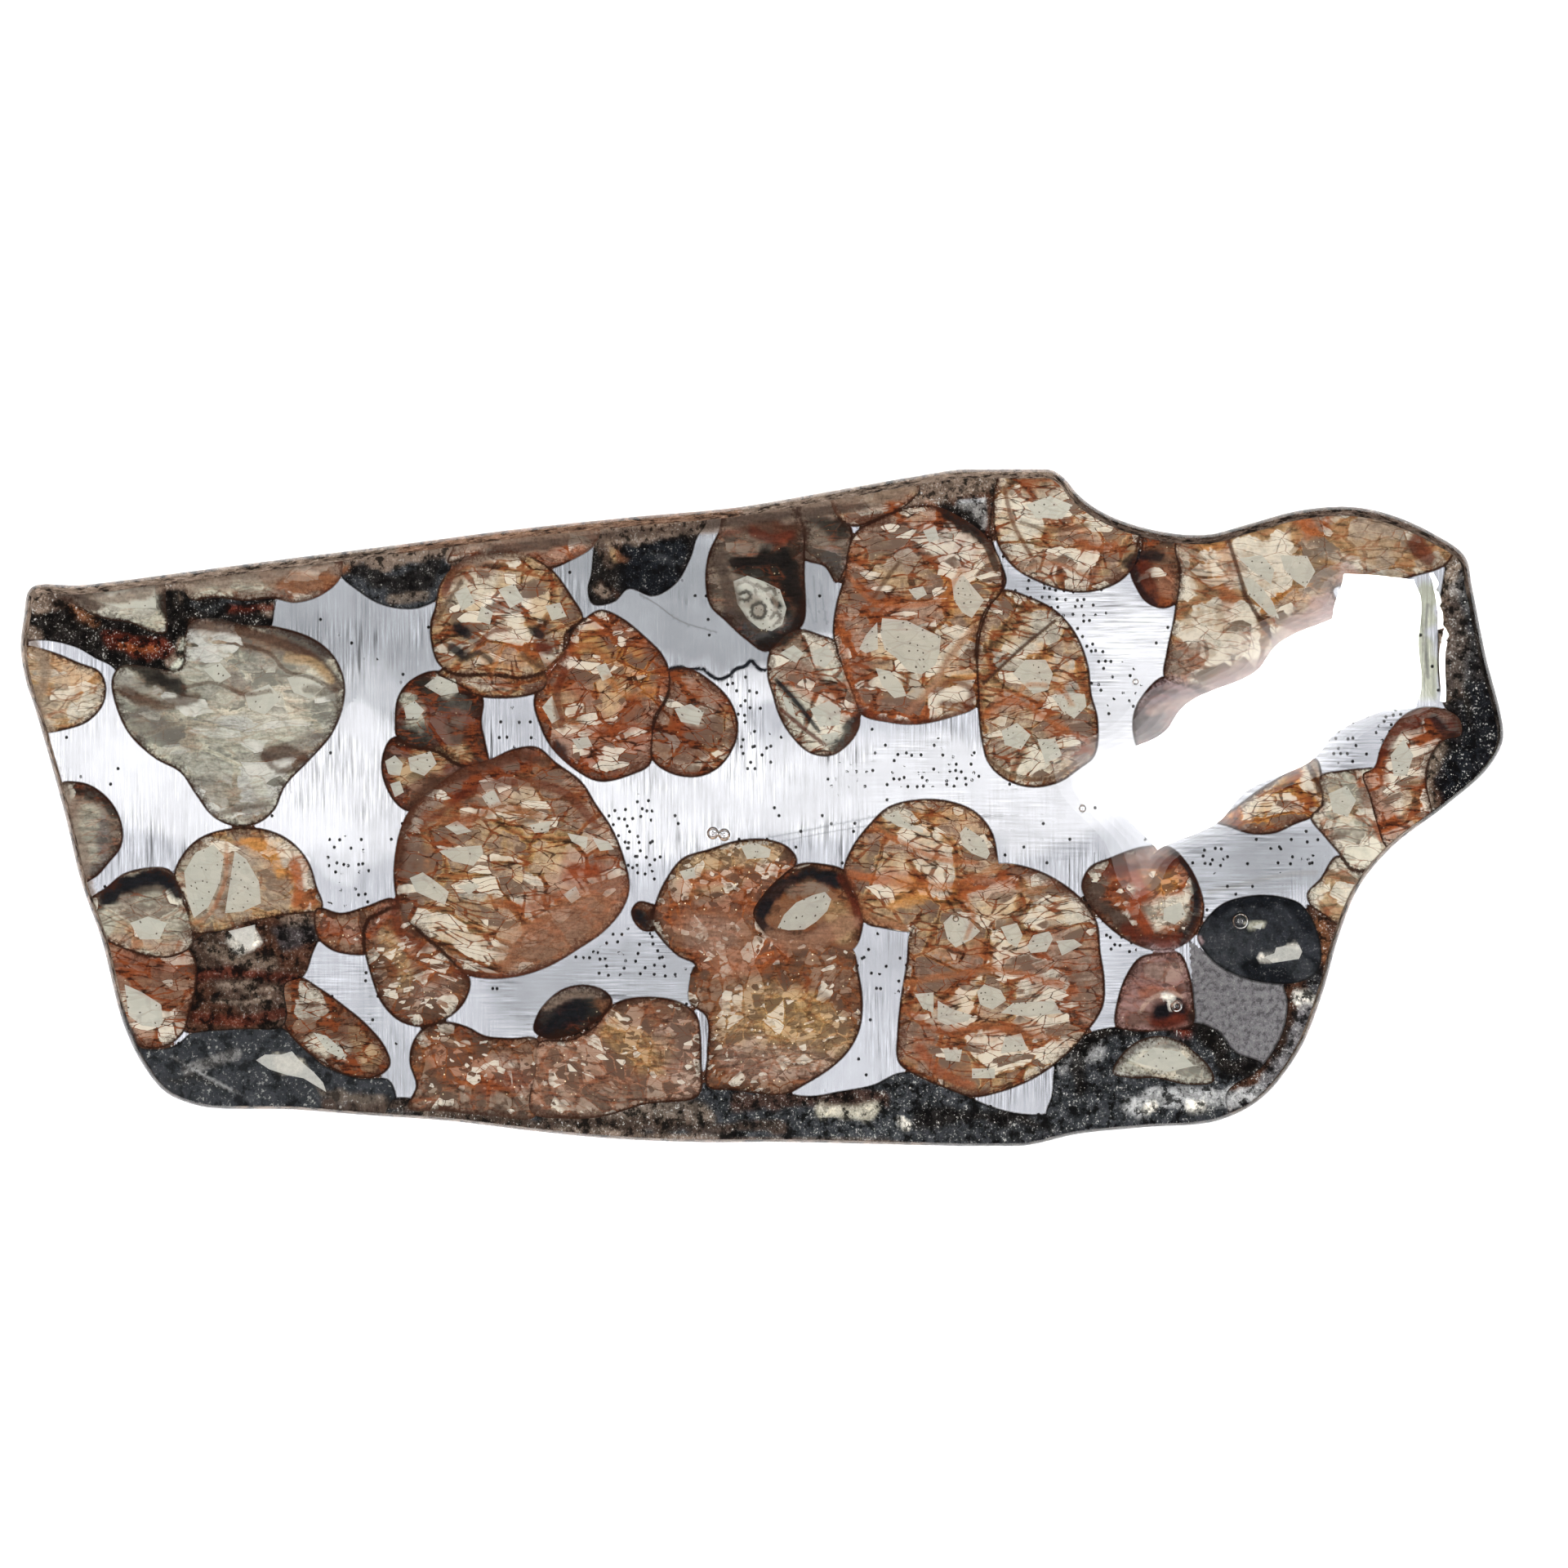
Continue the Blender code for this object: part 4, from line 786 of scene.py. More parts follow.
# Stains on the crystals and crusts, but not on the metal. Some rows are painted light instead: the maroon,
# ink, pink_grey and white rows round 1396-1446,1214-1246 paint the air bubble's shade and highlights, and the
# silver and white rows along 1384-1556,1320-1356 paint the coat edge's sheen and highlights.
STAINS_AND_PAINTED_LIGHT = strokes_of("""
black 13 0.95  58,758 92,766 118,785 128,802
black 12 0.95  206,722 214,748 250,752 298,760
black 13 0.95  150,806 176,818 196,830 222,842
dark_brown 9 0.85  160,846 200,862 240,850
maroon 8 0.8  144,780 170,786 200,788
rust 5 0.52  150,790 172,796 190,794
bark 7 0.8  208,812 220,800 224,786
sage 5 0.85  214,818 222,810
sage 4 0.8  222,796 226,784
dark_brown 8 0.85  236,764 290,772 350,790 392,812 414,840
dark_bark 9 0.75  380,842 410,850 420,866
dark_brown 9 0.8  330,925 362,918 380,925
brown 10 0.8  330,708 372,716 410,706 430,700
ink 15 0.97  768,672 800,664 826,672
ink 24 0.97  776,700 805,706
black 14 0.95  736,720 744,728
bark 6 0.9  732,720 742,728
rust 7 0.8  700,680 716,670 706,690
black 11 0.95  908,690 932,682 962,690 976,712 980,750 960,778 936,792
black 5 0.95  946,736 954,742
bark 12 0.6  922,742 930,752
black 2.6 0.9  922,742 932,738 938,746 934,756 925,756 920,750 922,742
black 2.6 0.9  906,728 914,724 920,730 914,736 908,734
dark_bark 2.6 0.8  926,716 936,722 946,720 950,728
dark_bark 2.6 0.8  914,756 918,768 928,774
dark_bark 2.4 0.7  904,716 912,712 922,716 926,726
bark 4 0.7  940,728 950,736 948,748
dark_bark 2.4 0.8  944,758 950,750 956,756 948,766
dark_brown 16 0.9  904,640 940,652 976,650
maroon 7 0.7  922,652 946,660 968,656
grey 15 0.95  1188,628 1196,640
silver 2.5 0.95  1174,615 1208,613
black 9 0.95  1146,610 1164,626 1186,652 1200,664
dark_brown 4 0.9  1210,604 1212,640 1214,670
rust 13 0.75  1590,636 1604,658
dark_brown 3 0.9  1504,662 1516,700 1525,728 1540,756 1554,778 1575,807
dark_bark 14 0.8  1772,740 1780,790 1784,850
charcoal 12 0.8  1788,700 1796,760
ink 22 0.9  1806,760 1814,830 1822,890 1806,940 1780,975
ink 18 0.9  1780,870 1790,920 1770,960
mauve 8 0.8  1398,1156 1430,1160 1466,1152
maroon 24 0.97  1430,1246 1440,1246
ink 12 0.97  1422,1240 1446,1240
pink_grey 3 0.8  1396,1238 1404,1227 1416,1219 1430,1214 1446,1220
white 5 0.97  1425,1219 1434,1221
white 2.4 0.9  1430,1222 1433,1234
silver 12 0.9  1384,1350 1450,1346 1530,1338 1556,1322
white 6 0.95  1404,1356 1412,1353
white 8 0.95  1458,1354 1470,1354
black 14 0.9  1464,1256 1488,1282 1512,1304 1530,1300
black 12 0.9  1330,1330 1322,1290 1350,1262
charcoal 12 0.9  1560,1160 1590,1180 1604,1200
black 10 0.9  1600,1240 1590,1280 1560,1310
silver 1.8 0.6  212,1294 250,1316 309,1346
ink 6 0.92  1436,1042 1458,1066 1466,1100 1462,1130 1446,1154
maroon 12 0.85  1362,1066 1400,1056 1432,1054
red_rust 11 0.85  1386,1074 1402,1094 1388,1118 1404,1138
dark_bark 12 0.9  1336,1084 1346,1108 1370,1134
maroon 9 0.85  1376,1140 1408,1154 1440,1152
mauve 15 0.7  1648,706 1634,738 1606,756 1574,776 1554,800
mauve 15 0.65  1554,802 1510,826 1472,842 1436,836
pink_grey 7 0.55  1408,872 1440,862 1480,858
dark_bark 3 0.6  1396,868 1412,850 1440,846
dark_brown 4 0.8  300,790 330,800 352,822 382,830 412,846
tan 7 0.6  352,806 384,812 404,832
dark_brown 4 0.75  226,842 262,836 300,850 332,846
dark_brown 5 0.75  322,926 344,944 374,930
dark_brown 5 0.7  258,1000 296,990 330,984
grey_brown 4 0.6  180,900 220,886 262,892
ink 5 0.9  566,808 588,800 602,810
dark_brown 5 0.85  640,802 664,816 690,806
maroon 4 0.8  584,790 602,774 626,770
dark_brown 4 0.8  536,760 548,738 566,712
dark_brown 4 0.8  1100,690 1080,716 1064,740
maroon 5 0.8  1146,846 1166,834 1190,846 1184,862 1154,862
dark_brown 3 0.8  1210,930 1240,950 1290,952 1326,926
maroon 4 0.8  1230,600 1240,640 1262,680
red_rust 6 0.6  1322,664 1346,672 1368,664
dark_brown 3 0.8  1250,640 1290,650 1330,644
rust 4 0.56  1244,700 1290,690 1330,706
rust 6 0.64  1040,1070 1090,1080 1150,1086 1190,1078 1222,1060
rust 4 0.64  1072,1012 1110,1034 1150,1052 1196,1056
red_rust 5 0.6  1196,1086 1230,1078 1262,1092 1290,1078
rust 4 0.6  1180,1094 1192,1120 1182,1150
red_rust 6 0.64  1040,1078 1060,1120 1108,1136
amber 8 0.6  1092,1108 1130,1100
rust 4 0.64  1206,872 1240,858 1290,886 1332,908
rust 4 0.6  1242,860 1256,840 1300,846 1312,862
dark_brown 2.6 0.9  1292,760 1248,796 1204,838
rust 6 0.64  1028,756 1034,802 1046,850 1062,872
rust 4 0.6  1036,702 1068,736 1112,742 1150,734 1176,700
umber 5 0.8  1112,872 1142,840 1166,800 1194,768
black 6 0.9  1156,622 1182,636 1206,664 1220,696
maroon 5 0.85  1050,866 1090,884 1140,884 1190,866
ink 3 0.9  950,832 972,856 1003,896
red_rust 5 0.6  668,832 692,802 722,792 748,810
rust 5 0.6  744,830 770,852 800,846
red_rust 5 0.6  690,880 730,896 780,890
red_rust 5 0.6  1112,1240 1150,1262 1210,1258 1290,1272
rust 5 0.6  1108,1204 1160,1194 1220,1188 1300,1206
red_rust 8 0.75  1126,1284 1150,1312 1190,1330
rust 7 0.8  360,1056 366,1084 362,1106
amber 7 0.6  300,1030 330,1042 344,1070
rust 4 0.6  278,1034 276,1076 258,1118 240,1130
rust 4 0.56  600,830 620,790 654,800 672,812
red_rust 6 0.6  520,1000 570,1004 616,988 660,1000
red_rust 6 0.6  600,1100 640,1112 690,1094
ink 12 0.97  136,1100 150,1080 178,1072 205,1080 216,1092
ink 8 0.9  560,768 572,776
ink 7 0.9  552,792 564,800
ink 7 0.9  652,772 662,778
maroon 8 0.9  660,792 672,796
maroon 6 0.85  544,726 556,700 580,684
ink 6 0.85  590,676 612,680
dark_brown 11 0.85  488,1060 490,1020 504,984 530,962
dark_brown 8 0.8  530,962 590,940 640,926 670,934
maroon 7 0.75  560,975 620,958 690,970 730,1010
maroon 7 0.7  484,1100 490,1140 520,1160
maroon 5 0.7  520,1010 560,980
umber 36 0.6  640,1160 700,1130 742,1096
red_rust 9 0.7  704,1060 728,1066
maroon 7 0.8  560,1192 620,1198 690,1180 740,1150
umber 30 0.55  846,1130 900,1150 900,1176
ink 7 0.9  940,1140 930,1124 942,1106
ink 9 0.9  940,1116 966,1086 1000,1066 1026,1070
maroon 6 0.9  1030,1074 1046,1104 1052,1130
umber 14 0.7  950,1146 1000,1148 1040,1130
ink 12 0.95  784,1118 792,1126
ink 9 0.9  700,940 686,916
maroon 6 0.8  688,890 682,850 692,820
bark 10 0.75  330,744 370,738 410,726
maroon 5 0.8  280,746 330,744 380,736 420,716
ink 12 0.9  1020,920 1034,900 1050,876
maroon 4 0.9  956,868 984,892 1010,912
maroon 16 0.85  1395,696 1408,724
ink 8 0.9  1378,690 1392,680 1420,682
ink 8 0.9  1386,696 1392,722 1412,742
maroon 12 0.85  1736,664 1752,684
ink 5 0.9  1598,928 1608,948 1616,970
maroon 9 0.85  1684,940 1694,905 1716,882 1750,872 1770,882
ink 8 0.8  1756,880 1774,904
ink 24 0.85  660,1252 700,1242
bark 7 0.75  668,1232 700,1217 732,1216
dark_grey 13 0.8  1594,1226 1590,1256 1576,1290 1552,1320
""")

# Borders between crystals that hardly show: radius, strength, path
QUIET = strokes_of("""
18 1  846,1216 900,1218 935,1206 955,1186 964,1160
13 0.9  1008,1148 1028,1160 1050,1168
16 1  846,1206 872,1200 900,1190 912,1170 908,1156 930,1150 1000,1156
14 1  1106,1150 1116,1138 1150,1105 1190,1075 1230,1052
12 0.8  1180,750 1196,720 1210,690
12 0.7  640,1290 660,1310 655,1350
12 0.8  560,1120 510,1116 480,1130
12 0.6  240,1130 300,1140 360,1140
12 0.8  1490,640 1500,720 1480,800
""")

# Clean, clear fragments in the crystals
WINDOWS = paths_of("""
545,1012 560,1005 578,1018 560,1022
538,1042 555,1038 590,1035 592,1045 580,1060 555,1055
502,1075 518,1068 535,1080 550,1092 545,1108 510,1092
560,1085 580,1080 588,1085 575,1095
648,1010 675,1005 672,1018 655,1020
695,1020 720,1025 718,1040 700,1030
725,1025 745,1030 752,1040 735,1042
590,975 605,965 615,985 600,990
1080,757 1110,760 1135,772 1152,780 1150,800 1145,815 1128,826 1112,822 1100,808 1083,795 1078,775
1052,795 1060,778 1074,762 1075,795 1060,800
1165,708 1180,705 1192,720 1205,735 1190,757 1178,750 1168,735
1112,722 1130,718 1135,728 1122,735
1130,650 1145,645 1150,660 1138,665
1072,818 1090,822 1105,840 1110,852 1095,855 1080,840
1165,835 1194,832 1190,842
1080,1000 1100,992 1105,1005 1130,1015 1130,1020 1100,1012
1175,1020 1182,1012 1205,1028 1212,1045 1208,1052 1190,1045 1178,1035
1155,1130 1165,1120 1185,1125 1200,1140 1190,1150 1170,1160 1160,1150
1225,1135 1245,1130 1252,1145 1245,1160 1235,1155
1257,1158 1265,1145 1285,1140 1289,1150 1281,1165 1262,1167
1293,1152 1315,1150 1325,1157 1300,1170
1148,1225 1165,1235 1190,1243 1185,1250 1160,1255 1148,1250
1196,1214 1205,1205 1225,1212 1232,1225 1215,1236 1200,1230
1120,1217 1143,1215 1143,1240 1130,1235
1225,1240 1240,1228 1290,1225 1300,1240 1260,1245
1230,1270 1250,1265 1258,1285 1225,1290
1155,1285 1178,1285 1175,1300 1158,1298
1190,1308 1218,1308 1218,1320 1190,1320
520,840 535,828 558,832 562,848 540,852
495,866 508,858 520,870 512,880 498,880
472,932 484,925 494,935 490,950 476,948
500,928 528,920 535,935 520,950 503,944
478,960 490,956 495,970 484,976
155,1205 175,1215 198,1230 200,1250 195,1258 175,1255 160,1242
280,1140 313,1132 312,1150 307,1163 288,1148
384,1264 400,1268 420,1285 424,1298 402,1288
898,712 915,705 935,712 955,722 963,745 958,765 945,773 930,770 915,758 903,740
1240,825 1255,808 1280,808 1289,825 1283,845 1265,850
1287,852 1310,848 1328,850 1330,865 1315,880 1300,870
1516,684 1545,680 1560,698 1556,716 1530,697
1567,680 1600,681 1610,700 1598,720 1583,710 1572,697
1520,706 1533,709 1545,720 1558,737 1566,758 1552,752 1530,730
1548,1172 1560,1167 1562,1160 1590,1157 1594,1165 1590,1174 1558,1179
1532,1135 1546,1130 1543,1138
952,1136 960,1120 975,1105 995,1096 1010,1092 1018,1101 1013,1115 1000,1128 985,1138 965,1139
907,1036 925,1032 944,1040 942,1050 915,1052
832,1067 850,1062 852,1074 838,1078
314,1298 325,1291 345,1291 358,1287 368,1299 384,1312 396,1325 400,1336 372,1320 352,1316 330,1309
690,1095 705,1085 712,1098 700,1106
610,722 630,715 642,735 625,745
556,726 572,718 582,738 566,748
590,742 604,750 600,765 584,760
668,742 686,738 694,755 676,760
660,800 676,796 682,806 668,818
730,816 742,812 750,828 738,834
664,866 676,852 686,880 676,886
826,868 846,862 862,872 856,888 834,884
700,905 720,902 726,914 708,918
958,852 970,862 975,880 964,876
992,868 1015,858 1030,868 1028,888 1004,890
1005,900 1025,896 1028,908 1010,916
955,800 972,790 984,800 975,812
995,798 1012,790 1022,803 1010,818 996,812
1256,618 1285,608 1312,620 1300,636 1268,634
1226,895 1245,885 1262,900 1250,918 1230,912
1270,905 1292,905 1300,925 1280,935
300,850 330,838 345,855 325,875 305,868
352,830 380,824 400,840 380,856 360,848
250,820 270,812 284,828 268,838
160,1130 182,1122 205,1130 196,1150 172,1150
226,1068 240,1044 262,1034 275,1048 270,1080 256,1110 238,1124 230,1100
288,1042 302,1052 318,1080 320,1106 298,1116 276,1118 282,1080
110,722 150,712 190,715 192,745 150,745 120,738
1702,925 1718,905 1730,925 1722,950 1706,950
1626,972 1648,962 1660,980 1650,1000 1632,995
1390,1300 1412,1282 1445,1288 1462,1305 1430,1312
1425,1112 1445,1105 1452,1120 1438,1132 1424,1126
""")

# How finely the slab's pieces are cut, in pixels
OUTLINE_STEP = 4.0
GRID_STEP = 4.5
RING_REACHES = (1.5, 4.0)
CURVE_STEPS = 16
# The rows of a staggered grid stand this share of its step apart
ROW_SHARE = 0.87

# Strokes below this radius in pixels keep smooth sides, and the slab is cut finely beside them
THIN_STROKE = 9
# A stroke is whole up to the first share of its radius, gone from the second, and looked at up to the third
STROKE_WHOLE, STROKE_GONE, STROKE_END = 0.6, 1.1, 1.3

# Metal no wider than this on each side is dark filling, further than the reach from wider metal, in pixels
SEAM_WIDTH = 2.2
SEAM_REACH = 5.0

# Metres between points that count as one, the side of the tiles that distances are found in, and the furthest
WELD = 1e-8
TILE = 2.5 * MM
FAR = 1.6 * MM
# How many points are taken at a time, and the least squared length that is divided by
POINTS_AT_A_TIME = 20000
TINY = 1e-18


def linear(colour):
    """A colour from 0 to 255 as linear light: a power of 2.4 above a short straight foot, as in sRGB."""
    share = np.array(colour, float) / 255
    return np.where(share > 0.04045, ((share + 0.055) / 1.055) ** 2.4, share / 12.92)


PALETTE = {name: linear(colour) for name, colour in COLOURS.items()}


def metres(pixels):
    """Points of the photograph as metres from the origin."""
    return (np.asarray(pixels, float) - PHOTO_MIDDLE) * (PIXEL, -PIXEL)


def smooth_step(low, high, value):
    """0 up to low, 1 from high, and the cubic 3t^2 - 2t^3 between."""
    t = np.clip((value - low) / (high - low), 0, 1)
    return t * t * (3 - 2 * t)


def round_curve(points, step, closed=True):
    """A centripetal Catmull-Rom curve through the points, resampled at even steps along its length.

    Each span between two points is blended three times from its four nearest points, with knots
    spaced by the square root of the distance between points.
    """
    points = np.asarray(points, float)
    if closed:
        ring = np.concatenate((points[-1:], points, points[:2]))
    else:
        ring = np.concatenate((2 * points[:1] - points[1:2], points, 2 * points[-1:] - points[-2:-1]))
    p = [ring[i:len(ring) - 3 + i] for i in range(4)]
    knots = [np.zeros(len(p[0]))]
    for a, b in zip(p, p[1:]):
        knots.append(knots[-1] + np.sqrt(np.linalg.norm(b - a, axis=1)))
    t0, t1, t2, t3 = (k[:, None, None] for k in knots)
    p0, p1, p2, p3 = (q[:, None] for q in p)
    t = t1 + (t2 - t1) * np.linspace(0, 1, CURVE_STEPS, endpoint=False)[None, :, None]
    a1 = ((t1 - t) * p0 + (t - t0) * p1) / (t1 - t0)
    a2 = ((t2 - t) * p1 + (t - t1) * p2) / (t2 - t1)
    a3 = ((t3 - t) * p2 + (t - t2) * p3) / (t3 - t2)
    b1 = ((t2 - t) * a1 + (t - t0) * a2) / (t2 - t0)
    b2 = ((t3 - t) * a2 + (t - t1) * a3) / (t3 - t1)
    curve = (((t2 - t) * b1 + (t - t1) * b2) / (t2 - t1)).reshape(-1, 2)
    curve = np.concatenate((curve, curve[:1] if closed else points[-1:]))
    along = np.concatenate(((0,), np.cumsum(np.linalg.norm(np.diff(curve, axis=0), axis=1))))
    count = max(4, int(round(along[-1] / step)))
    places = np.linspace(0, along[-1], count + 1)
    even = np.stack([np.interp(places, along, curve[:, i]) for i in range(2)], axis=1)
    return even[:-1] if closed else even


def inside(points, loop):
    """Whether each point lies in a closed loop, by counting the sides that a line to its right crosses."""
    found = np.zeros(len(points), bool)
    low, high = loop.min(0), loop.max(0)
    near = np.flatnonzero(((points >= low) & (points <= high)).all(1))
    start, end = loop, np.roll(loop, -1, axis=0)
    for part in np.array_split(near, len(near) // POINTS_AT_A_TIME + 1):
        x, y = points[part, 0:1], points[part, 1:2]
        spans = (start[:, 1] > y) != (end[:, 1] > y)
        rise = np.where(end[:, 1] == start[:, 1], 1, end[:, 1] - start[:, 1])
        crossing = start[:, 0] + (y - start[:, 1]) * (end[:, 0] - start[:, 0]) / rise
        found[part] = (spans & (x < crossing)).sum(1) % 2 == 1
    return found


def distance_to(points, starts, ends, reach=FAR):
    """Each point's distance to the nearest of some straight runs, or the reach if that is less.

    The points are taken one square tile at a time, against the runs that come near the tile.
    """
    nearest = np.full(len(points), float(reach))
    low, high = np.minimum(starts, ends), np.maximum(starts, ends)
    tiles, tile_of = np.unique(np.floor(points / TILE).astype(int), axis=0, return_inverse=True)
    order = np.argsort(tile_of, kind="stable")
    groups = np.split(order, np.cumsum(np.bincount(tile_of.ravel()))[:-1])
    for tile, members in zip(tiles * TILE, groups):
        close = ((high > tile - reach) & (low < tile + TILE + reach)).all(1)
        if not close.any():
            continue
        start, run = starts[close], (ends - starts)[close]
        x, y = (points[members, i:i + 1] - start[:, i] for i in range(2))
        share = np.clip((x * run[:, 0] + y * run[:, 1]) / np.maximum((run ** 2).sum(1), TINY), 0, 1)
        away = np.hypot(x - share * run[:, 0], y - share * run[:, 1]).min(1)
        nearest[members] = np.minimum(away, reach)
    return nearest


def normals_of(loop):
    """The outward unit normal at each point of an anticlockwise loop, square to its two neighbours."""
    along = np.roll(loop, -1, axis=0) - np.roll(loop, 1, axis=0)
    normal = np.stack((along[:, 1], -along[:, 0]), axis=1)
    return normal / np.linalg.norm(normal, axis=1)[:, None]


def anticlockwise(loop):
    """The loop, turned round if its signed area is negative."""
    after = np.roll(loop, -1, axis=0)
    area = (loop[:, 0] * after[:, 1] - loop[:, 1] * after[:, 0]).sum()
    return loop if area > 0 else loop[::-1]


def softened(normals, passes):
    """Unit normals averaged with their neighbours again and again."""
    for _ in range(passes):
        normals = np.roll(normals, 1, axis=0) + 2 * normals + np.roll(normals, -1, axis=0)
        normals = normals / np.linalg.norm(normals, axis=1)[:, None]
    return normals


EDGE_STEP = 8.0
NORMAL_PASSES = 12
silhouette = anticlockwise(metres(round_curve(track(SILHOUETTE), EDGE_STEP)))
silhouette = np.clip(silhouette, LOWEST[:2], HIGHEST[:2])
edge_normals = softened(normals_of(silhouette), NORMAL_PASSES)


def inset(distance, tilt=0.0):
    """The silhouette moved inwards along its softened normals, by more on the side towards +Y."""
    return silhouette - edge_normals * (distance + tilt * edge_normals[:, 1:2])


slab_edge = inset(EDGE_COAT, EDGE_COAT_TILT)


def cut_plane(loops, extra):
    """The plane cut into triangles along closed loops, with extra points scattered between them.

    Gives the points, and the triangles as rows of three point numbers, all anticlockwise.
    """
    points = np.concatenate((*loops, extra))
    edges = []
    start = 0
    for loop in loops:
        own = np.arange(start, start + len(loop))
        edges.append(np.stack((own, np.roll(own, -1)), axis=1))
        start += len(loop)
    edges = np.concatenate(edges)
    found = delaunay_2d_cdt([Vector(p) for p in points.tolist()], edges.tolist(), [], 0, WELD)
    return np.array([tuple(v) for v in found[0]]), np.array(found[2])


def ring_points(loop):
    """Points beside a loop on both sides, at a few small distances from it."""
    normal = normals_of(loop)
    sides = [loop + normal * reach * PIXEL * side for reach in RING_REACHES for side in (-1, 1)]
    return np.concatenate(sides)


def staggered(loop, step):
    """Points over a loop's bounding box, in rows of which every second is moved along by half a step."""
    low, high = loop.min(0), loop.max(0)
    x, y = np.meshgrid(np.arange(low[0], high[0], step), np.arange(low[1], high[1], step * ROW_SHARE))
    x[1::2] += step / 2
    return np.stack((x.ravel(), y.ravel()), axis=1)


def new_piece(name, points, faces, material, slot, nodes):
    """A mesh object that rides with the slice, takes a material and stands for CAD nodes. The slot it is
    given is not used.
    """
    mesh = bpy.data.meshes.new(name)
    mesh.from_pydata(points.tolist(), [], faces if isinstance(faces, list) else faces.tolist())
    mesh.materials.append(material)
    piece = bpy.data.objects.new(name, mesh)
    bpy.context.scene.collection.objects.link(piece)
    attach(piece, "root")
    if nodes:
        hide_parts(*nodes)
    return piece


def store(piece, name, kind, domain, values):
    """Keeps an array of values on a piece's points or faces, for its material to read."""
    attribute = piece.data.attributes.new(name, kind, domain)
    field = {"FLOAT": "value", "FLOAT_COLOR": "color", "FLOAT_VECTOR": "vector"}[kind]
    attribute.data.foreach_set(field, np.ascontiguousarray(values, np.float32).ravel())


def slab_piece(name, triangles, material, slot, nodes):
    """A flat stretch of the slab: its triangles on top, the same turned over below, and upright walls.

    Gives the object, and the numbers of the cut's points that it is made of.
    """
    used, local = np.unique(triangles, return_inverse=True)
    local = local.reshape(-1, 3)
    count = len(used)
    flat = cut_points[used]
    top = np.column_stack((flat, np.full(count, SLAB_TOP)))
    bottom = np.column_stack((flat, np.full(count, SLAB_BOTTOM)))
    sides = np.concatenate((local[:, (0, 1)], local[:, (1, 2)], local[:, (2, 0)]))
    keys = sides[:, 0] * count + sides[:, 1]
    rim = sides[~np.isin(keys, sides[:, 1] * count + sides[:, 0])]
    a, b = rim[:, 0], rim[:, 1]
    walls = np.concatenate((
        np.stack((a + count, b + count, b), axis=1),
        np.stack((a + count, b, a), axis=1),
    ))
    faces = np.concatenate((local, local[:, ::-1] + count, walls))
    piece = new_piece(name, np.concatenate((top, bottom)), faces, material, slot, nodes)
    return piece, used


class Wire:
    """A shader socket. Arithmetic on it adds Math nodes to its material."""

    def __init__(self, paint, socket):
        self.paint = paint
        self.socket = socket

    def maths(self, operation, *values):
        return self.paint.node("Math", {"operation": operation}, dict(enumerate(values)))

    def top(self, other):
        return self.maths("MAXIMUM", self, other)

    def between(self, low, high):
        """Itself, held between two bounds."""
        return self.maths("MINIMUM", self.maths("MAXIMUM", self, low), high)

    def __add__(self, other):
        return self.maths("ADD", self, other)

    def __sub__(self, other):
        return self.maths("SUBTRACT", self, other)

    def __rsub__(self, other):
        return self.maths("SUBTRACT", other, self)

    def __mul__(self, other):
        return self.maths("MULTIPLY", self, other)

    __radd__ = __add__
    __rmul__ = __mul__


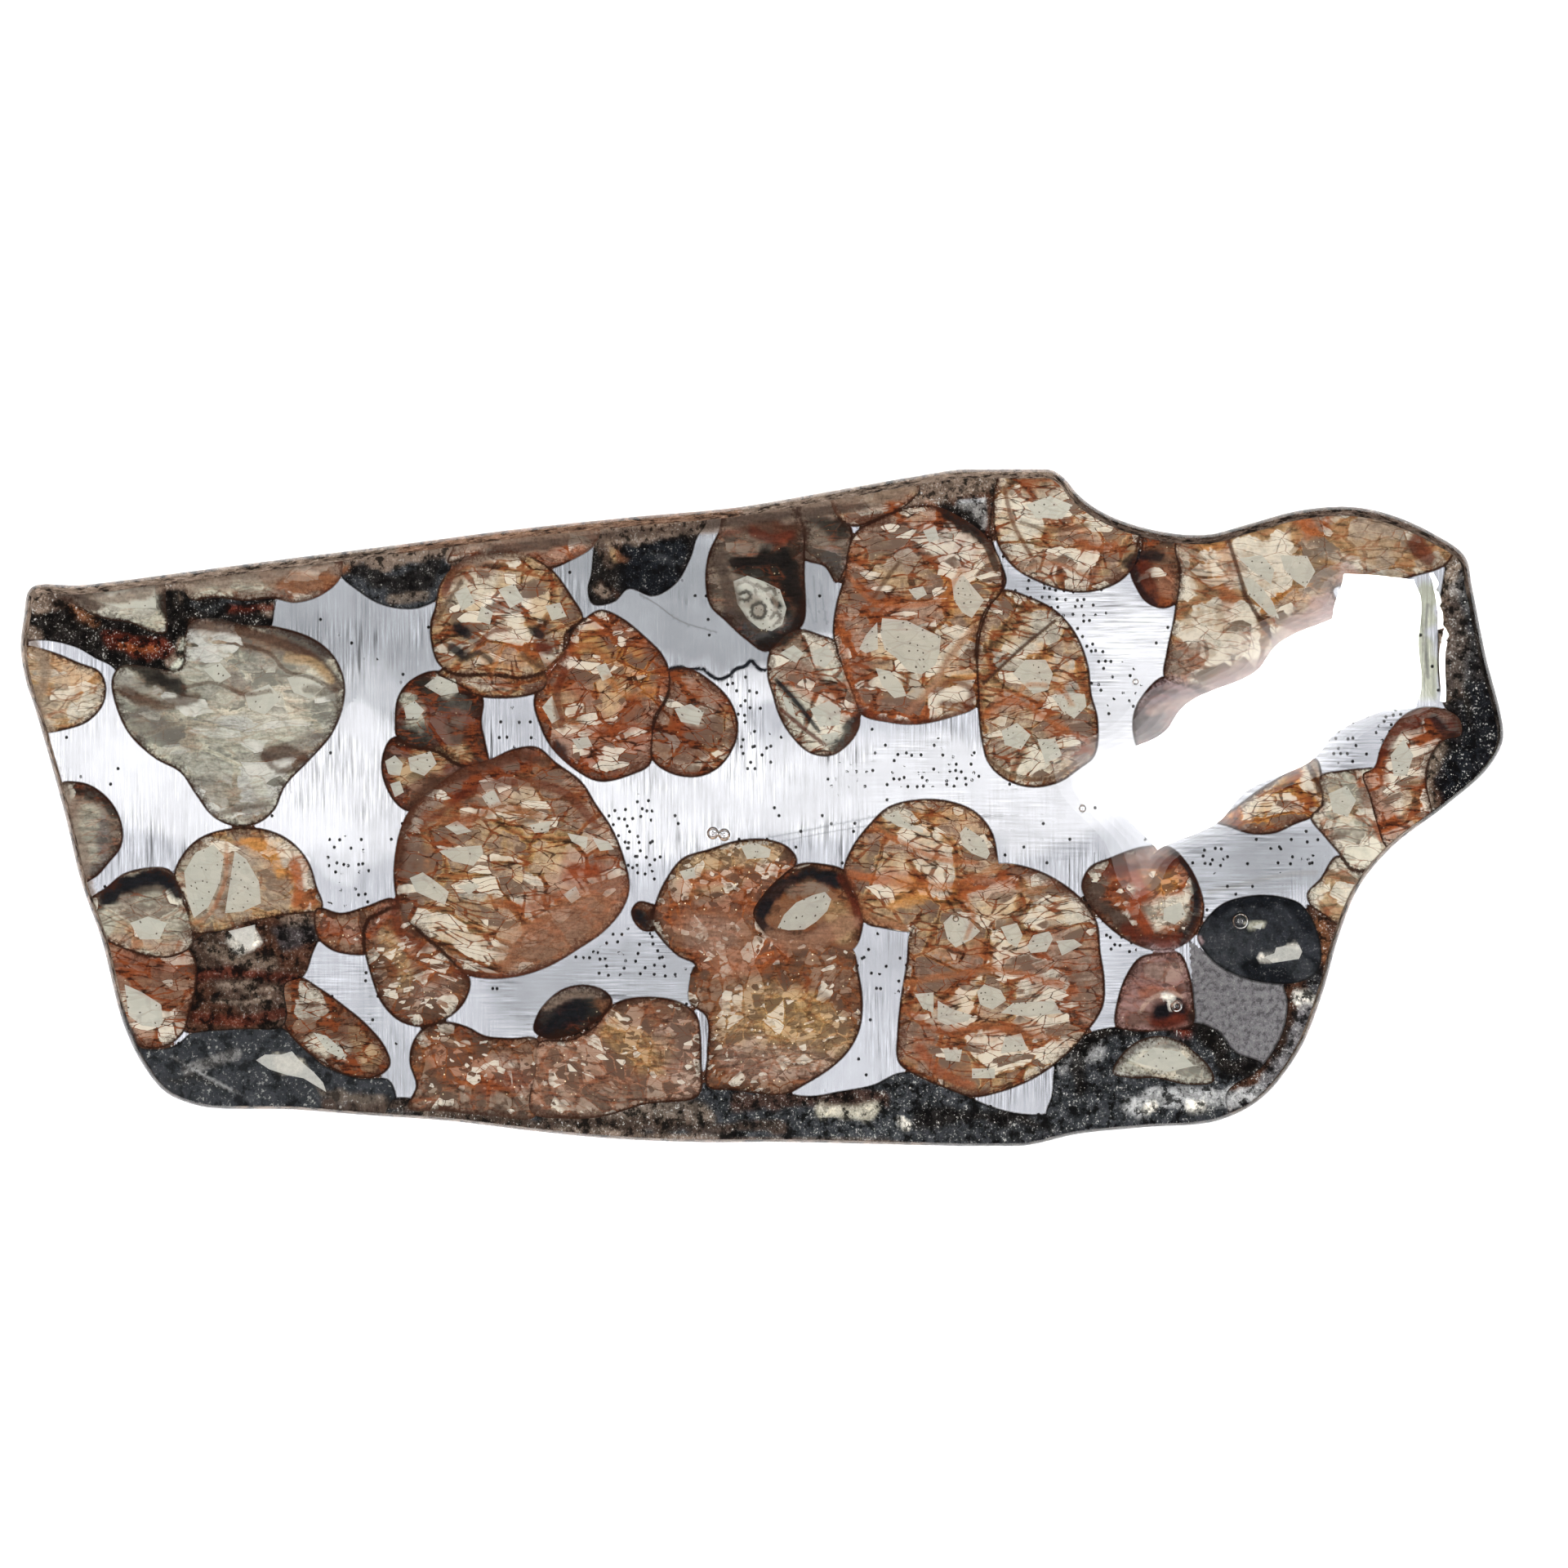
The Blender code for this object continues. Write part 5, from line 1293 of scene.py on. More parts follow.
class Paint:
    """A material, and the nodes that it is mixed from."""

    def __init__(self, holder, place="Object"):
        self.holder = holder
        holder.use_nodes = True
        self.tree = holder.node_tree
        self.tree.nodes.clear()
        self.place = self.node("TexCoord", out=place)
        self.millimetres = self.node("VectorMath", {"operation": "SCALE"}, {0: self.place, "Scale": 1000.0})

    def node(self, kind, settings=None, sockets=None, out=0):
        """Adds a node of a kind, with its settings, then its sockets' values or links."""
        made = self.tree.nodes.new("ShaderNode" + kind)
        for key, value in (settings or {}).items():
            setattr(made, key, value)
        for key, value in (sockets or {}).items():
            if isinstance(value, Wire):
                self.tree.links.new(value.socket, made.inputs[key])
            else:
                made.inputs[key].default_value = value
        return Wire(self, made.outputs[out])

    def attribute(self, name, out="Fac"):
        return self.node("Attribute", {"attribute_name": name}, out=out)

    def mix(self, share, low, high, blend="MIX"):
        """One colour turned into another by a share, through a Mix node on colours."""
        settings = {"data_type": "RGBA", "blend_type": blend, "clamp_factor": True}
        low, high = (v if isinstance(v, Wire) else (*v, 1.0) for v in (low, high))
        return self.node("Mix", settings, {0: share, 6: low, 7: high}, out=2)

    def brighten(self, colour, factor):
        """A colour times a factor."""
        return self.node("VectorMath", {"operation": "SCALE"}, {0: colour, "Scale": factor})

    def step(self, value, low, high, out_low=0.0, out_high=1.0):
        """A smooth step of a value between two marks."""
        sockets = {0: value, 1: low, 2: high, 3: out_low, 4: out_high}
        return self.node("MapRange", {"interpolation_type": "SMOOTHSTEP"}, sockets)

    def stretched(self, place, scale, turn=0.0):
        """A place turned about Z and scaled along each axis."""
        return self.node("Mapping", {"vector_type": "POINT"}, {0: place, 2: (0.0, 0.0, turn), 3: scale})

    def noise(self, place, scale, detail=3.0, roughness=0.55, dimensions="2D"):
        sockets = {"Vector": place, "Scale": scale, "Detail": detail, "Roughness": roughness}
        return self.node("TexNoise", {"noise_dimensions": dimensions}, sockets)

    def warped(self, place, scale, reach):
        """A place moved by soft noise, at most by about half the reach each way."""
        sockets = {"Vector": place, "Scale": scale, "Detail": 2.0}
        drift = self.node("TexNoise", None, sockets, out="Color")
        moved = self.brighten(self.vectors("SUBTRACT", drift, (0.5, 0.5, 0.5)), reach)
        return self.vectors("ADD", place, moved)

    def cells(self, place, scale, feature="F1", dimensions="2D"):
        """Voronoi cells: the distance to their middle or border, a random colour, and their middle."""
        settings = {"feature": feature, "voronoi_dimensions": dimensions}
        distance = self.node("TexVoronoi", settings, {"Vector": place, "Scale": scale}, out="Distance")
        if feature != "F1":
            return distance
        outputs = distance.socket.node.outputs
        return distance, Wire(self, outputs["Color"]), Wire(self, outputs["Position"])

    def vectors(self, operation, first, second, out="Vector"):
        return self.node("VectorMath", {"operation": operation}, {0: first, 1: second}, out)

    def channel(self, colour, name):
        return self.node("SeparateColor", None, {0: colour}, out=name)

    def bump(self, height, distance, strength=1.0):
        sockets = {"Height": height, "Distance": distance, "Strength": strength}
        return self.node("Bump", None, sockets, out="Normal")

    def finish(self, surface, volume=None, output="OutputMaterial"):
        made = self.tree.nodes.new("ShaderNode" + output)
        self.tree.links.new(surface.socket, made.inputs["Surface"])
        if volume:
            self.tree.links.new(volume.socket, made.inputs["Volume"])
        return self.holder


# Colours that the recipes share
PALE = tuple(linear((202, 196, 180)))
DEEP = tuple(linear((146, 84, 54)))
GREY_PALE = tuple(linear((192, 191, 184)))
DARK_LINE = tuple(linear((40, 22, 16)))
RUST_LINE = tuple(linear((120, 62, 36)))
BLACK = tuple(linear((12, 11, 11)))
CLEAN = tuple(linear((192, 191, 179)))
# The colour of painted glints, bright spots that stand for light sparkling off facets
GLINT = tuple(linear((255, 236, 190)))

# How the clear fragments and the coat refract and colour the light. The density is for each metre.
CLEAR_OLIVINE = (0.95, 0.93, 0.84, 1.0)
OLIVINE_IOR = 1.12
RESIN_IOR = 1.5
RESIN_TINT = (0.93, 0.90, 0.85, 1.0)
RESIN_DENSITY = 60.0

# Shards of three sizes: millimetres, turn, stretch, share that shows, share of those that is pale
SHARDS = ((3.4, 0.3, 0.8, 1.1, 0.42), (1.9, 1.4, 1.6, 0.32, 0.5), (0.9, 2.4, 1.2, 0.10, 0.45))
# Long cracks: turn, cells in a millimetre, how far they are drawn out
CRACKS = ((0.5, 0.50, 2.6), (2.1, 0.42, 3.2))


def crystal(name, size=1.0, turn=0.0, stretch=1.6, pale=1.0, cracks=0.85, clear=0.1, contrast=1.0,
            clean=PALE, glints=0.3, deep=0.8, spots=0.0):
    """Cracked olivine.

    The ground is the tone, broken up by streaks and fine noise. Over it lie three sizes of angular
    shards, which are Voronoi cells drawn out along a direction of their own. A share of each size
    shows. Each shard gets lighter towards a side of its own, as painted shading of a lit facet, has a
    grain of its own, and is darker and redder where it is dark. Some are clean pale olivine. The gaps
    between them are rusty, and wide where slow noise is high. Small painted glints, bright spots in the
    colour that stand for light sparkling off facets, lie on top. Clean windows are even and pale, with
    dark dots, and let some light through. Long cracks run over all of it, faintly over the windows.
    Worn spots, where the stain and weathering strokes lie, show only the tone and fine noise; painted
    shade and highlights of a bubble and of the coat's edge are among those strokes. The rim is dark,
    and rusty a little further in, but faint where it's quiet.
    """
    paint = Paint(bpy.data.materials.new(name))
    tone = paint.attribute("tone", "Color")
    edge = paint.attribute("edge")
    window = paint.attribute("window")
    fine = paint.noise(paint.millimetres, 5.0, 4.0, 0.75)
    cloud = paint.noise(paint.millimetres, 0.55, 3.0, 0.6)
    streak = paint.noise(paint.stretched(paint.millimetres, (0.8, 3.6, 1.0), turn + 0.4), 1.0, 3.0, 0.65)
    place = paint.warped(paint.warped(paint.millimetres, 0.09, 5.0), 1.6, 0.22)
    worn = paint.attribute("worn")
    line = paint.mix(paint.step(0.7 * streak + 0.3 * fine, 0.40, 0.58), DARK_LINE, RUST_LINE)
    crumbled = paint.step(cloud, 0.42, 0.60)
    mixed = min(0.5, 0.34 * pale)

    light = 1.0 + contrast * 1.7 * (streak - 0.5) + contrast * 1.5 * (fine - 0.5)
    colour = paint.brighten(tone, light)
    for shard, shard_turn, shard_stretch, chance, pale_share in SHARDS:
        scale = 1 / (shard * size)
        cell_place = paint.stretched(place, (1.0, stretch * shard_stretch, 1.0), turn + shard_turn)
        _, cell, middle = paint.cells(cell_place, scale)
        border = paint.cells(cell_place, scale, "DISTANCE_TO_EDGE")
        # Painted facet shading: each shard gets lighter towards a side of its own, like a lit facet
        slope = paint.vectors("SUBTRACT", cell, (0.5, 0.5, 0.5))
        lean = paint.vectors("DOT_PRODUCT", paint.vectors("SUBTRACT", cell_place, middle), slope, "Value")
        shown = paint.step(paint.channel(cell, "Green") + chance, 1.0, 1.02)
        rank = paint.channel(cell, "Red")
        grain = paint.noise(paint.vectors("ADD", cell_place, paint.brighten(cell, 20.0)), 1.8, 3.0, 0.6)
        light = 0.82 + 0.6 * (rank - 0.5) + scale * lean + 0.9 * (grain - 0.5) + 0.5 * (streak - 0.5)
        is_pale = paint.step(paint.channel(cell, "Blue") + pale * pale_share, 1.0, 1.05)
        light = (light + 0.7 * contrast * (fine - 0.5)).between(0.36, 1.12)
        shaded = paint.mix(deep * (1.0 - paint.step(light, 0.5, 0.95)), tone, DEEP)
        body = paint.brighten(paint.mix(0.85 * is_pale + mixed * (1.0 - is_pale), shaded, clean), light)
        gap = 0.045 + 0.13 * crumbled
        colour = paint.mix(cracks * shown * (1.0 - paint.step(border, 0.0, gap)), colour, line)
        colour = paint.mix(shown * (1.0 - 0.5 * crumbled) * paint.step(border, gap * 0.6, gap), colour, body)
    # Painted glints: small bright spots in the colour where light would sparkle off facets
    spark, spark_cell, _ = paint.cells(paint.millimetres, 2.6)
    painted_glints = paint.step(paint.channel(spark_cell, "Green"), 0.80, 0.81)
    spark_size = 0.16 * paint.channel(spark_cell, "Red") - 0.02
    painted_glints = painted_glints * (1.0 - paint.step(spark, spark_size * 0.7, spark_size + 0.01))
    colour = paint.mix(glints * painted_glints, colour, GLINT)
    speck, window_cell, _ = paint.cells(place, 2.3)
    dots = paint.step(paint.channel(window_cell, "Green"), 0.55, 0.56) * (1.0 - paint.step(speck, 0.09, 0.13))
    clear_light = 0.90 + 0.12 * paint.channel(window_cell, "Red") + 0.16 * (streak - 0.5)
    clear_colour = paint.brighten(paint.mix(0.15, CLEAN, tone), clear_light)
    clear_colour = paint.mix(dots * 0.85, clear_colour, DARK_LINE)
    colour = paint.mix(spots * dots, colour, DARK_LINE)
    colour = paint.mix(window, colour, clear_colour)
    for crack_turn, scale, drawn_out in CRACKS:
        crack_place = paint.stretched(place, (1.0, drawn_out, 1.0), turn + crack_turn)
        crack = paint.cells(crack_place, scale, "DISTANCE_TO_EDGE")
        width = 0.024 + 0.40 * (cloud - 0.46).between(0.0, 1.0)
        crack = 1.0 - paint.step(crack + 0.03 * (fine - 0.5), width * 0.4, width)
        colour = paint.mix(cracks * crack * (1.0 - 0.85 * window), colour, line)

    worn_light = (0.30 + 1.4 * fine + 1.3 * (streak - 0.5)).between(0.2, 1.7)
    colour = paint.mix(worn, colour, paint.brighten(tone, worn_light))

    rim = 1.0 - paint.step(edge + 0.22 * (fine - 0.5), 0.06, 0.18)
    soft_rim = 1.0 - paint.step(edge + 1.4 * (cloud - 0.5) + 1.5 * (fine - 0.5), -0.05, 0.5)
    quiet = paint.attribute("quiet")
    rim_colour = paint.mix(0.25 * deep, DARK_LINE, RUST_LINE)
    colour = paint.mix(0.7 * soft_rim * (1.0 - window) * (1.0 - quiet), colour, rim_colour)
    colour = paint.mix((0.95 - 0.8 * worn.top(quiet)) * rim, colour, DARK_LINE)

    normal = paint.bump(streak * 0.6 + fine * 0.3, 0.00004, 0.5)
    glossy = {"Base Color": colour, "Roughness": 0.35, "Normal": normal, "Specular IOR Level": 0.0}
    solid = paint.node("BsdfPrincipled", None, glossy)
    see_through = {"Base Color": CLEAR_OLIVINE, "Roughness": 0.05, "IOR": OLIVINE_IOR,
                   "Transmission Weight": 1.0}
    glass = paint.node("BsdfPrincipled", None, see_through)
    share = clear * window * (1.0 - rim) * (1.0 - dots) * (1.0 - worn)
    return paint.finish(paint.node("MixShader", None, {0: share, 1: solid, 2: glass}))


def stony(name, grain=1.0, metallic=0.0, roughness=0.5, contrast=1.0, flecks=1.0, holes=0.85,
          dimensions="2D", place=""):
    """Weathered or dark matter.

    Two sizes of noise and flat chips break up the tone. It's black in the hollows of the coarse noise,
    and has pale specks where both noises are high, and lone ones of uneven size. Clean windows are pale
    and grainy. The noises read the place in millimetres, or an attribute that stands in for it.
    """
    paint = Paint(bpy.data.materials.new(name))
    tone = paint.attribute("tone", "Color")
    edge = paint.attribute("edge")
    window = paint.attribute("window")
    place = paint.attribute(place, "Vector") if place else paint.millimetres
    coarse = paint.noise(place, 1.3 / grain, 5.0, 0.7, dimensions)
    fine = paint.noise(place, 6.5 / grain, 4.0, 0.75, dimensions)
    _, chip, _ = paint.cells(paint.warped(place, 1.6, 0.4), 2.6 / grain, dimensions=dimensions)
    light = 1.0 + contrast * (2.6 * (coarse - 0.5) + 2.4 * (fine - 0.5))
    light = light * (1.0 + contrast * (0.8 * paint.channel(chip, "Red") - 0.45))
    colour = paint.brighten(tone, light)
    colour = paint.mix(holes * paint.step(coarse, 0.47, 0.40), colour, BLACK)
    pale = paint.step(fine + 0.5 * coarse + 0.06 * paint.channel(chip, "Green"), 0.93, 0.96)
    speck, speck_cell, _ = paint.cells(place, 2.6 / grain, dimensions=dimensions)
    speck_size = 0.04 + 0.2 * paint.channel(speck_cell, "Red") * paint.channel(speck_cell, "Red")
    lone = paint.step(paint.channel(speck_cell, "Green"), 0.90, 0.91)
    lone = lone * (1.0 - paint.step(speck, speck_size * 0.5, speck_size))
    colour = paint.mix(0.8 * flecks * pale.top(lone), colour, GREY_PALE)
    clear_light = 0.35 + 0.6 * fine + 0.7 * coarse
    colour = paint.mix(window, colour, paint.brighten(paint.mix(0.2, GREY_PALE, tone), clear_light))
    rim = 1.0 - paint.step(edge, 0.03, 0.15)
    colour = paint.mix(0.7 * rim, colour, BLACK)
    normal = paint.bump(coarse + 0.4 * fine, 0.00006, 0.8)
    sockets = {"Base Color": colour, "Roughness": roughness, "Metallic": metallic, "Normal": normal,
               "Specular IOR Level": 0.0}
    return paint.finish(paint.node("BsdfPrincipled", None, sockets))


def polished_metal(name, roughness=0.14):
    """Polished iron-nickel.

    The scratches are noise drawn out upright, or along the slice where the across mask says so: fine
    ones everywhere, and a few longer, darker ones. They fade in patches and where it's smooth. Pits are
    the middles of cells, more of them where it's pitted. The rim is dark, and worn spots don't shine.
    """
    paint = Paint(bpy.data.materials.new(name))
    tone = paint.attribute("tone", "Color")
    edge = paint.attribute("edge")
    pitted = paint.attribute("pitted")
    across = paint.attribute("across")
    upright = paint.noise(paint.stretched(paint.millimetres, (7.0, 0.3, 1.0), 0.06), 1.0, 3.0, 0.65)
    level = paint.noise(paint.stretched(paint.millimetres, (0.3, 7.0, 1.0), -0.12), 1.0, 3.0, 0.65)
    hair = upright + across * (level - upright)
    long_upright = paint.noise(paint.stretched(paint.millimetres, (2.4, 0.12, 1.0), 0.1), 1.0, 2.0)
    long_level = paint.noise(paint.stretched(paint.millimetres, (0.12, 2.4, 1.0), -0.16), 1.0, 2.0)
    strokes = long_upright + across * (long_level - long_upright)
    cloud = paint.noise(paint.millimetres, 0.16, 3.0)
    fine = paint.noise(paint.millimetres, 9.0, 2.0)
    pit, pit_cell, _ = paint.cells(paint.millimetres, 2.1)
    density = 0.045 + 0.62 * pitted * paint.step(fine * 0.3 + cloud, 0.50, 0.66, 0.35, 1.0)
    pits = 1.0 - paint.step(pit, 0.16, 0.26)
    pits = pits * paint.step(paint.channel(pit_cell, "Green") + density, 1.0, 1.01)
    dark_stroke = 1.0 - paint.step(strokes, 0.30, 0.36)
    scratched = 1.0 - paint.attribute("smooth")
    patchy = paint.noise(paint.millimetres, 0.22, 2.0)
    light = (1.2 * (hair - 0.5) - 0.3 * dark_stroke) * paint.step(patchy, 0.35, 0.65, 0.1, 1.4)
    light = 0.92 + light * scratched + 0.5 * (cloud - 0.5)
    shade = paint.brighten(tone, light)
    rim = 1.0 - paint.step(edge + 0.06 * (fine - 0.5), 0.0, 0.08)
    shade = paint.mix(0.75 * rim, shade, DARK_LINE)
    shade = paint.mix(0.95 * pits, shade, BLACK)
    worn = paint.attribute("worn")
    shade = paint.mix(worn, shade, paint.brighten(tone, 0.4 + 1.2 * fine))
    rough = roughness + 0.16 * (hair - 0.5) + 0.5 * pits.top(worn)
    normal = paint.bump(hair + 0.6 * strokes - 1.5 * pits, 0.000010, 1.0)
    sockets = {"Base Color": shade, "Metallic": 1.0 - worn, "Roughness": rough, "Normal": normal,
               "Specular IOR Level": 0.0}
    return paint.finish(paint.node("BsdfPrincipled", None, sockets))


def clear_resin():
    """Clear, faintly warm resin that absorbs a little light."""
    paint = Paint(bpy.data.materials.new("clear_resin"))
    sockets = {"Base Color": (1.0, 1.0, 1.0, 1.0), "Roughness": 0.0, "IOR": RESIN_IOR,
               "Transmission Weight": 1.0}
    surface = paint.node("BsdfPrincipled", None, sockets)
    volume = paint.node("VolumeAbsorption", None, {"Color": RESIN_TINT, "Density": RESIN_DENSITY})
    return paint.finish(surface, volume)


# The looks, each a recipe with its own settings
honey = crystal("honey_olivine")
rusty = crystal("rusty_olivine", size=0.8, turn=0.8, pale=0.8, cracks=0.95)
ruddy = crystal("ruddy_olivine", size=0.9, turn=2.3, pale=0.35, cracks=0.9, deep=0.4)
pale = crystal("pale_olivine", size=1.3, turn=0.4, pale=1.2, cracks=0.5, contrast=0.7, deep=0.5)
grey_pale = crystal("grey_olivine", size=1.8, turn=0.5, stretch=2.4, cracks=0.2, contrast=0.8,
                    clean=GREY_PALE, glints=0.1, deep=0.05)
golden = crystal("golden_olivine", size=0.28, turn=1.9, stretch=1.2, pale=0.45, cracks=0.4, contrast=1.3,
                 glints=0.9, deep=0.25)
dark = crystal("dark_olivine", turn=2.6, pale=0.3, cracks=0.7, deep=0.0)
smoky = crystal("smoky_olivine", size=1.2, turn=1.2, pale=0.1, cracks=0.3, contrast=0.8, deep=0.0)
black = stony("black_inclusion", grain=0.8, metallic=0.2, roughness=0.4, contrast=0.5, flecks=0.4)
weathered = stony("weathered_crust", grain=0.9, roughness=0.55)
slate = stony("slate_crust", grain=1.3, roughness=0.5, contrast=0.5, flecks=0.5, holes=0.6)
streaked = stony("streaked_crust", grain=1.1, roughness=0.55, flecks=0.3)
skin = stony("weathered_flank", grain=0.8, roughness=0.6, flecks=0.5, dimensions="3D", place="streaks")
bright_metal = polished_metal("polished_iron_nickel")
# Dull metal at the lower right: a duller finish, and a grey tone that is partly painted shade
dull_shaded_metal = stony("dull_shaded_iron_nickel", grain=0.5, metallic=0.3, roughness=0.4, contrast=0.4, flecks=0.35,
                   holes=0.35)
blue_black = stony("blue_black_olivine", grain=0.9, contrast=0.35, flecks=0.15, holes=0.35)
spotted_pale = crystal("spotted_olivine", size=1.5, turn=0.9, cracks=0.2, contrast=0.6,
                       clean=GREY_PALE, glints=0.0, deep=0.1, spots=0.8)

# The look of each piece that is neither honey_olivine nor polished metal
LOOKS = {
    "olivine_rust_oval": rusty, "olivine_rust_small": rusty, "olivine_rust_top": rusty,
    "olivine_rust_left": ruddy, "olivine_oblong": ruddy, "olivine_linked_left": golden,
    "olivine_pale_left": grey_pale, "olivine_amber_left": pale, "olivine_black_capped": pale,
    "olivine_half_moon": smoky, "olivine_corner": grey_pale, "olivine_sliver_top": pale,
    "olivine_pale_right": pale, "olivine_pale_lower_right": spotted_pale, "olivine_tan_left": pale,
    "olivine_golden_lower": golden, "olivine_brown_lower": golden, "olivine_body_centre": golden,
    "olivine_brown_left": streaked, "olivine_hexagon": smoky, "olivine_grey_top": smoky,
    "olivine_dark_oval": blue_black, "olivine_dark_lens": smoky, "olivine_dark_pair": dark,
    "olivine_hooked": smoky, "olivine_brown_small": dark, "olivine_rose": smoky,
    "olivine_violet_right": smoky, "olivine_brown_round": golden,
    "olivine_great_right": pale, "inclusion_top": black, "inclusion_top_left": black,
    "vein_upper_left": weathered, "crust_top": weathered, "crust_right": weathered,
    "crust_lower_right": weathered, "crust_bottom": weathered, "crust_corner": slate,
    "dark_seams": weathered, "metal_grey_right": dull_shaded_metal,
}
SLOTS = {row["node"]: row["material_slot"] for row in frame["record"]["subparts"]}


# The slab is cut along every grain's outline and every window's
outlines = {
    name: [metres(round_curve(track(grain), OUTLINE_STEP)) for grain in grains]
    for name, grains in GRAINS.items()
}
all_grains = [loop for loops in outlines.values() for loop in loops]
windows = [metres(window) for window in WINDOWS]
thin_strokes = [
    metres(round_curve(path, OUTLINE_STEP, closed=False))
    for strokes in (*(row[1] for row in TONES.values()), WEATHERING, STAINS_AND_PAINTED_LIGHT, METAL_STROKES)
    for _, radius, _, path in strokes
    if radius < THIN_STROKE
]
extra = [ring_points(loop) for loop in (*all_grains, *thin_strokes)] + thin_strokes
extra.append(staggered(slab_edge, GRID_STEP * PIXEL))
cut_points, cut_triangles = cut_plane([slab_edge, *all_grains, *windows], np.concatenate(extra))
centres = cut_points[cut_triangles].mean(1)

owner = np.full(len(centres), "", dtype="<U40")
owner[inside(centres, slab_edge)] = "metal_main"
free = owner != ""
for name, loops in outlines.items():
    mine = np.zeros(len(centres), bool)
    for loop in loops:
        mine |= inside(centres, loop)
    owner[mine & free] = name
    free &= ~mine
for name, stretch in METAL_STRETCHES.items():
    owner[free & inside(centres, metres(track(stretch)))] = name
in_window = np.zeros(len(centres), bool)
for window in windows:
    in_window |= inside(centres, window)


def runs(loop):
    """A closed loop as straight runs."""
    return loop, np.roll(loop, -1, axis=0)


def grain_borders(loops):
    """The runs of a node's outlines, without those that an earlier grain of the node covers."""
    starts, ends = [], []
    for number, loop in enumerate(loops):
        start, end = runs(loop)
        shown = np.ones(len(loop), bool)
        for earlier in loops[:number]:
            shown &= ~inside((start + end) / 2, earlier)
        starts.append(start[shown])
        ends.append(end[shown])
    return np.concatenate(starts), np.concatenate(ends)


grain_starts = np.concatenate([runs(loop)[0] for loop in all_grains])
grain_ends = np.concatenate([runs(loop)[1] for loop in all_grains])

# Metal too narrow to show as metal is dark filling
metal_numbers = np.flatnonzero(free)
metal_points = np.unique(cut_triangles[metal_numbers])
metal_reach = np.zeros(len(cut_points))
metal_reach[metal_points] = distance_to(cut_points[metal_points], grain_starts, grain_ends)
deep = metal_points[metal_reach[metal_points] > SEAM_WIDTH * PIXEL]
narrow = metal_numbers[metal_reach[cut_triangles[metal_numbers]].max(1) <= SEAM_WIDTH * PIXEL]
to_deep = distance_to(centres[narrow], cut_points[deep], cut_points[deep])
owner[narrow[to_deep > SEAM_REACH * PIXEL]] = "dark_seams"


# The random fields that make a stroke's sides ragged: the lattice's step and the furthest move, in metres
RUFFLES = ((14 * PIXEL, 5.0 * PIXEL), (45 * PIXEL, 9.0 * PIXEL))
RUFFLE_SEED = 7


def ruffled(points):
    """Points moved by random fields, each a square lattice of random steps blended smoothly between."""
    moved = points.copy()
    random = np.random.default_rng(RUFFLE_SEED)
    for size, reach in RUFFLES:
        place = (points - LOWEST[:2]) / size + 1
        cell = np.floor(place).astype(int)
        share = smooth_step(0, 1, place - cell)
        lattice = random.uniform(-reach, reach, (*(cell.max(0) + 2), 2))
        for i, across in ((0, 1 - share[:, 0]), (1, share[:, 0])):
            for j, up in ((0, 1 - share[:, 1]), (1, share[:, 1])):
                moved += lattice[cell[:, 0] + i, cell[:, 1] + j] * (across * up)[:, None]
    return moved


def covered(points, strokes):
    """Each stroke, and how far it covers each point, from 0 to 1.

    The cover is the stroke's strength near its path and fades smoothly to nothing past its radius.
    Broad strokes have ragged sides.
    """
    ragged = ruffled(points)
    for *colour, radius, strength, path in strokes:
        curve = metres(round_curve(path, OUTLINE_STEP, closed=False))
        spots = ragged if radius >= THIN_STROKE else points
        away = distance_to(spots, curve[:-1], curve[1:], radius * STROKE_END * PIXEL) / PIXEL
        yield colour, strength * (1 - smooth_step(radius * STROKE_WHOLE, radius * STROKE_GONE, away))


def painted_over(tone, points, strokes):
    """Tones at some points, with each brush stroke laid over them in turn."""
    for (colour,), share in covered(points, strokes):
        tone += (PALETTE[colour] - tone) * share[:, None]
    return tone


def painted(name, points):
    """A node's tone at each point: its ground colour under its brush strokes."""
    ground, strokes = TONES.get(name, ("dark_brown", ()))
    tone = painted_over(np.tile(PALETTE[ground], (len(points), 1)), points, strokes)
    return painted_over(tone, points, STAINS_AND_PAINTED_LIGHT + WEATHERING)


def masked(points, strokes):
    """How far each point is covered by the stroke that covers it most, from 0 to 1."""
    cover = np.zeros(len(points))
    for _, share in covered(points, strokes):
        cover = np.maximum(cover, share)
    return cover


# The masks that the polished metal reads, and the strokes that they are made of
METAL_MASKS = {"pitted": PITTED, "across": ACROSS, "smooth": SMOOTH}


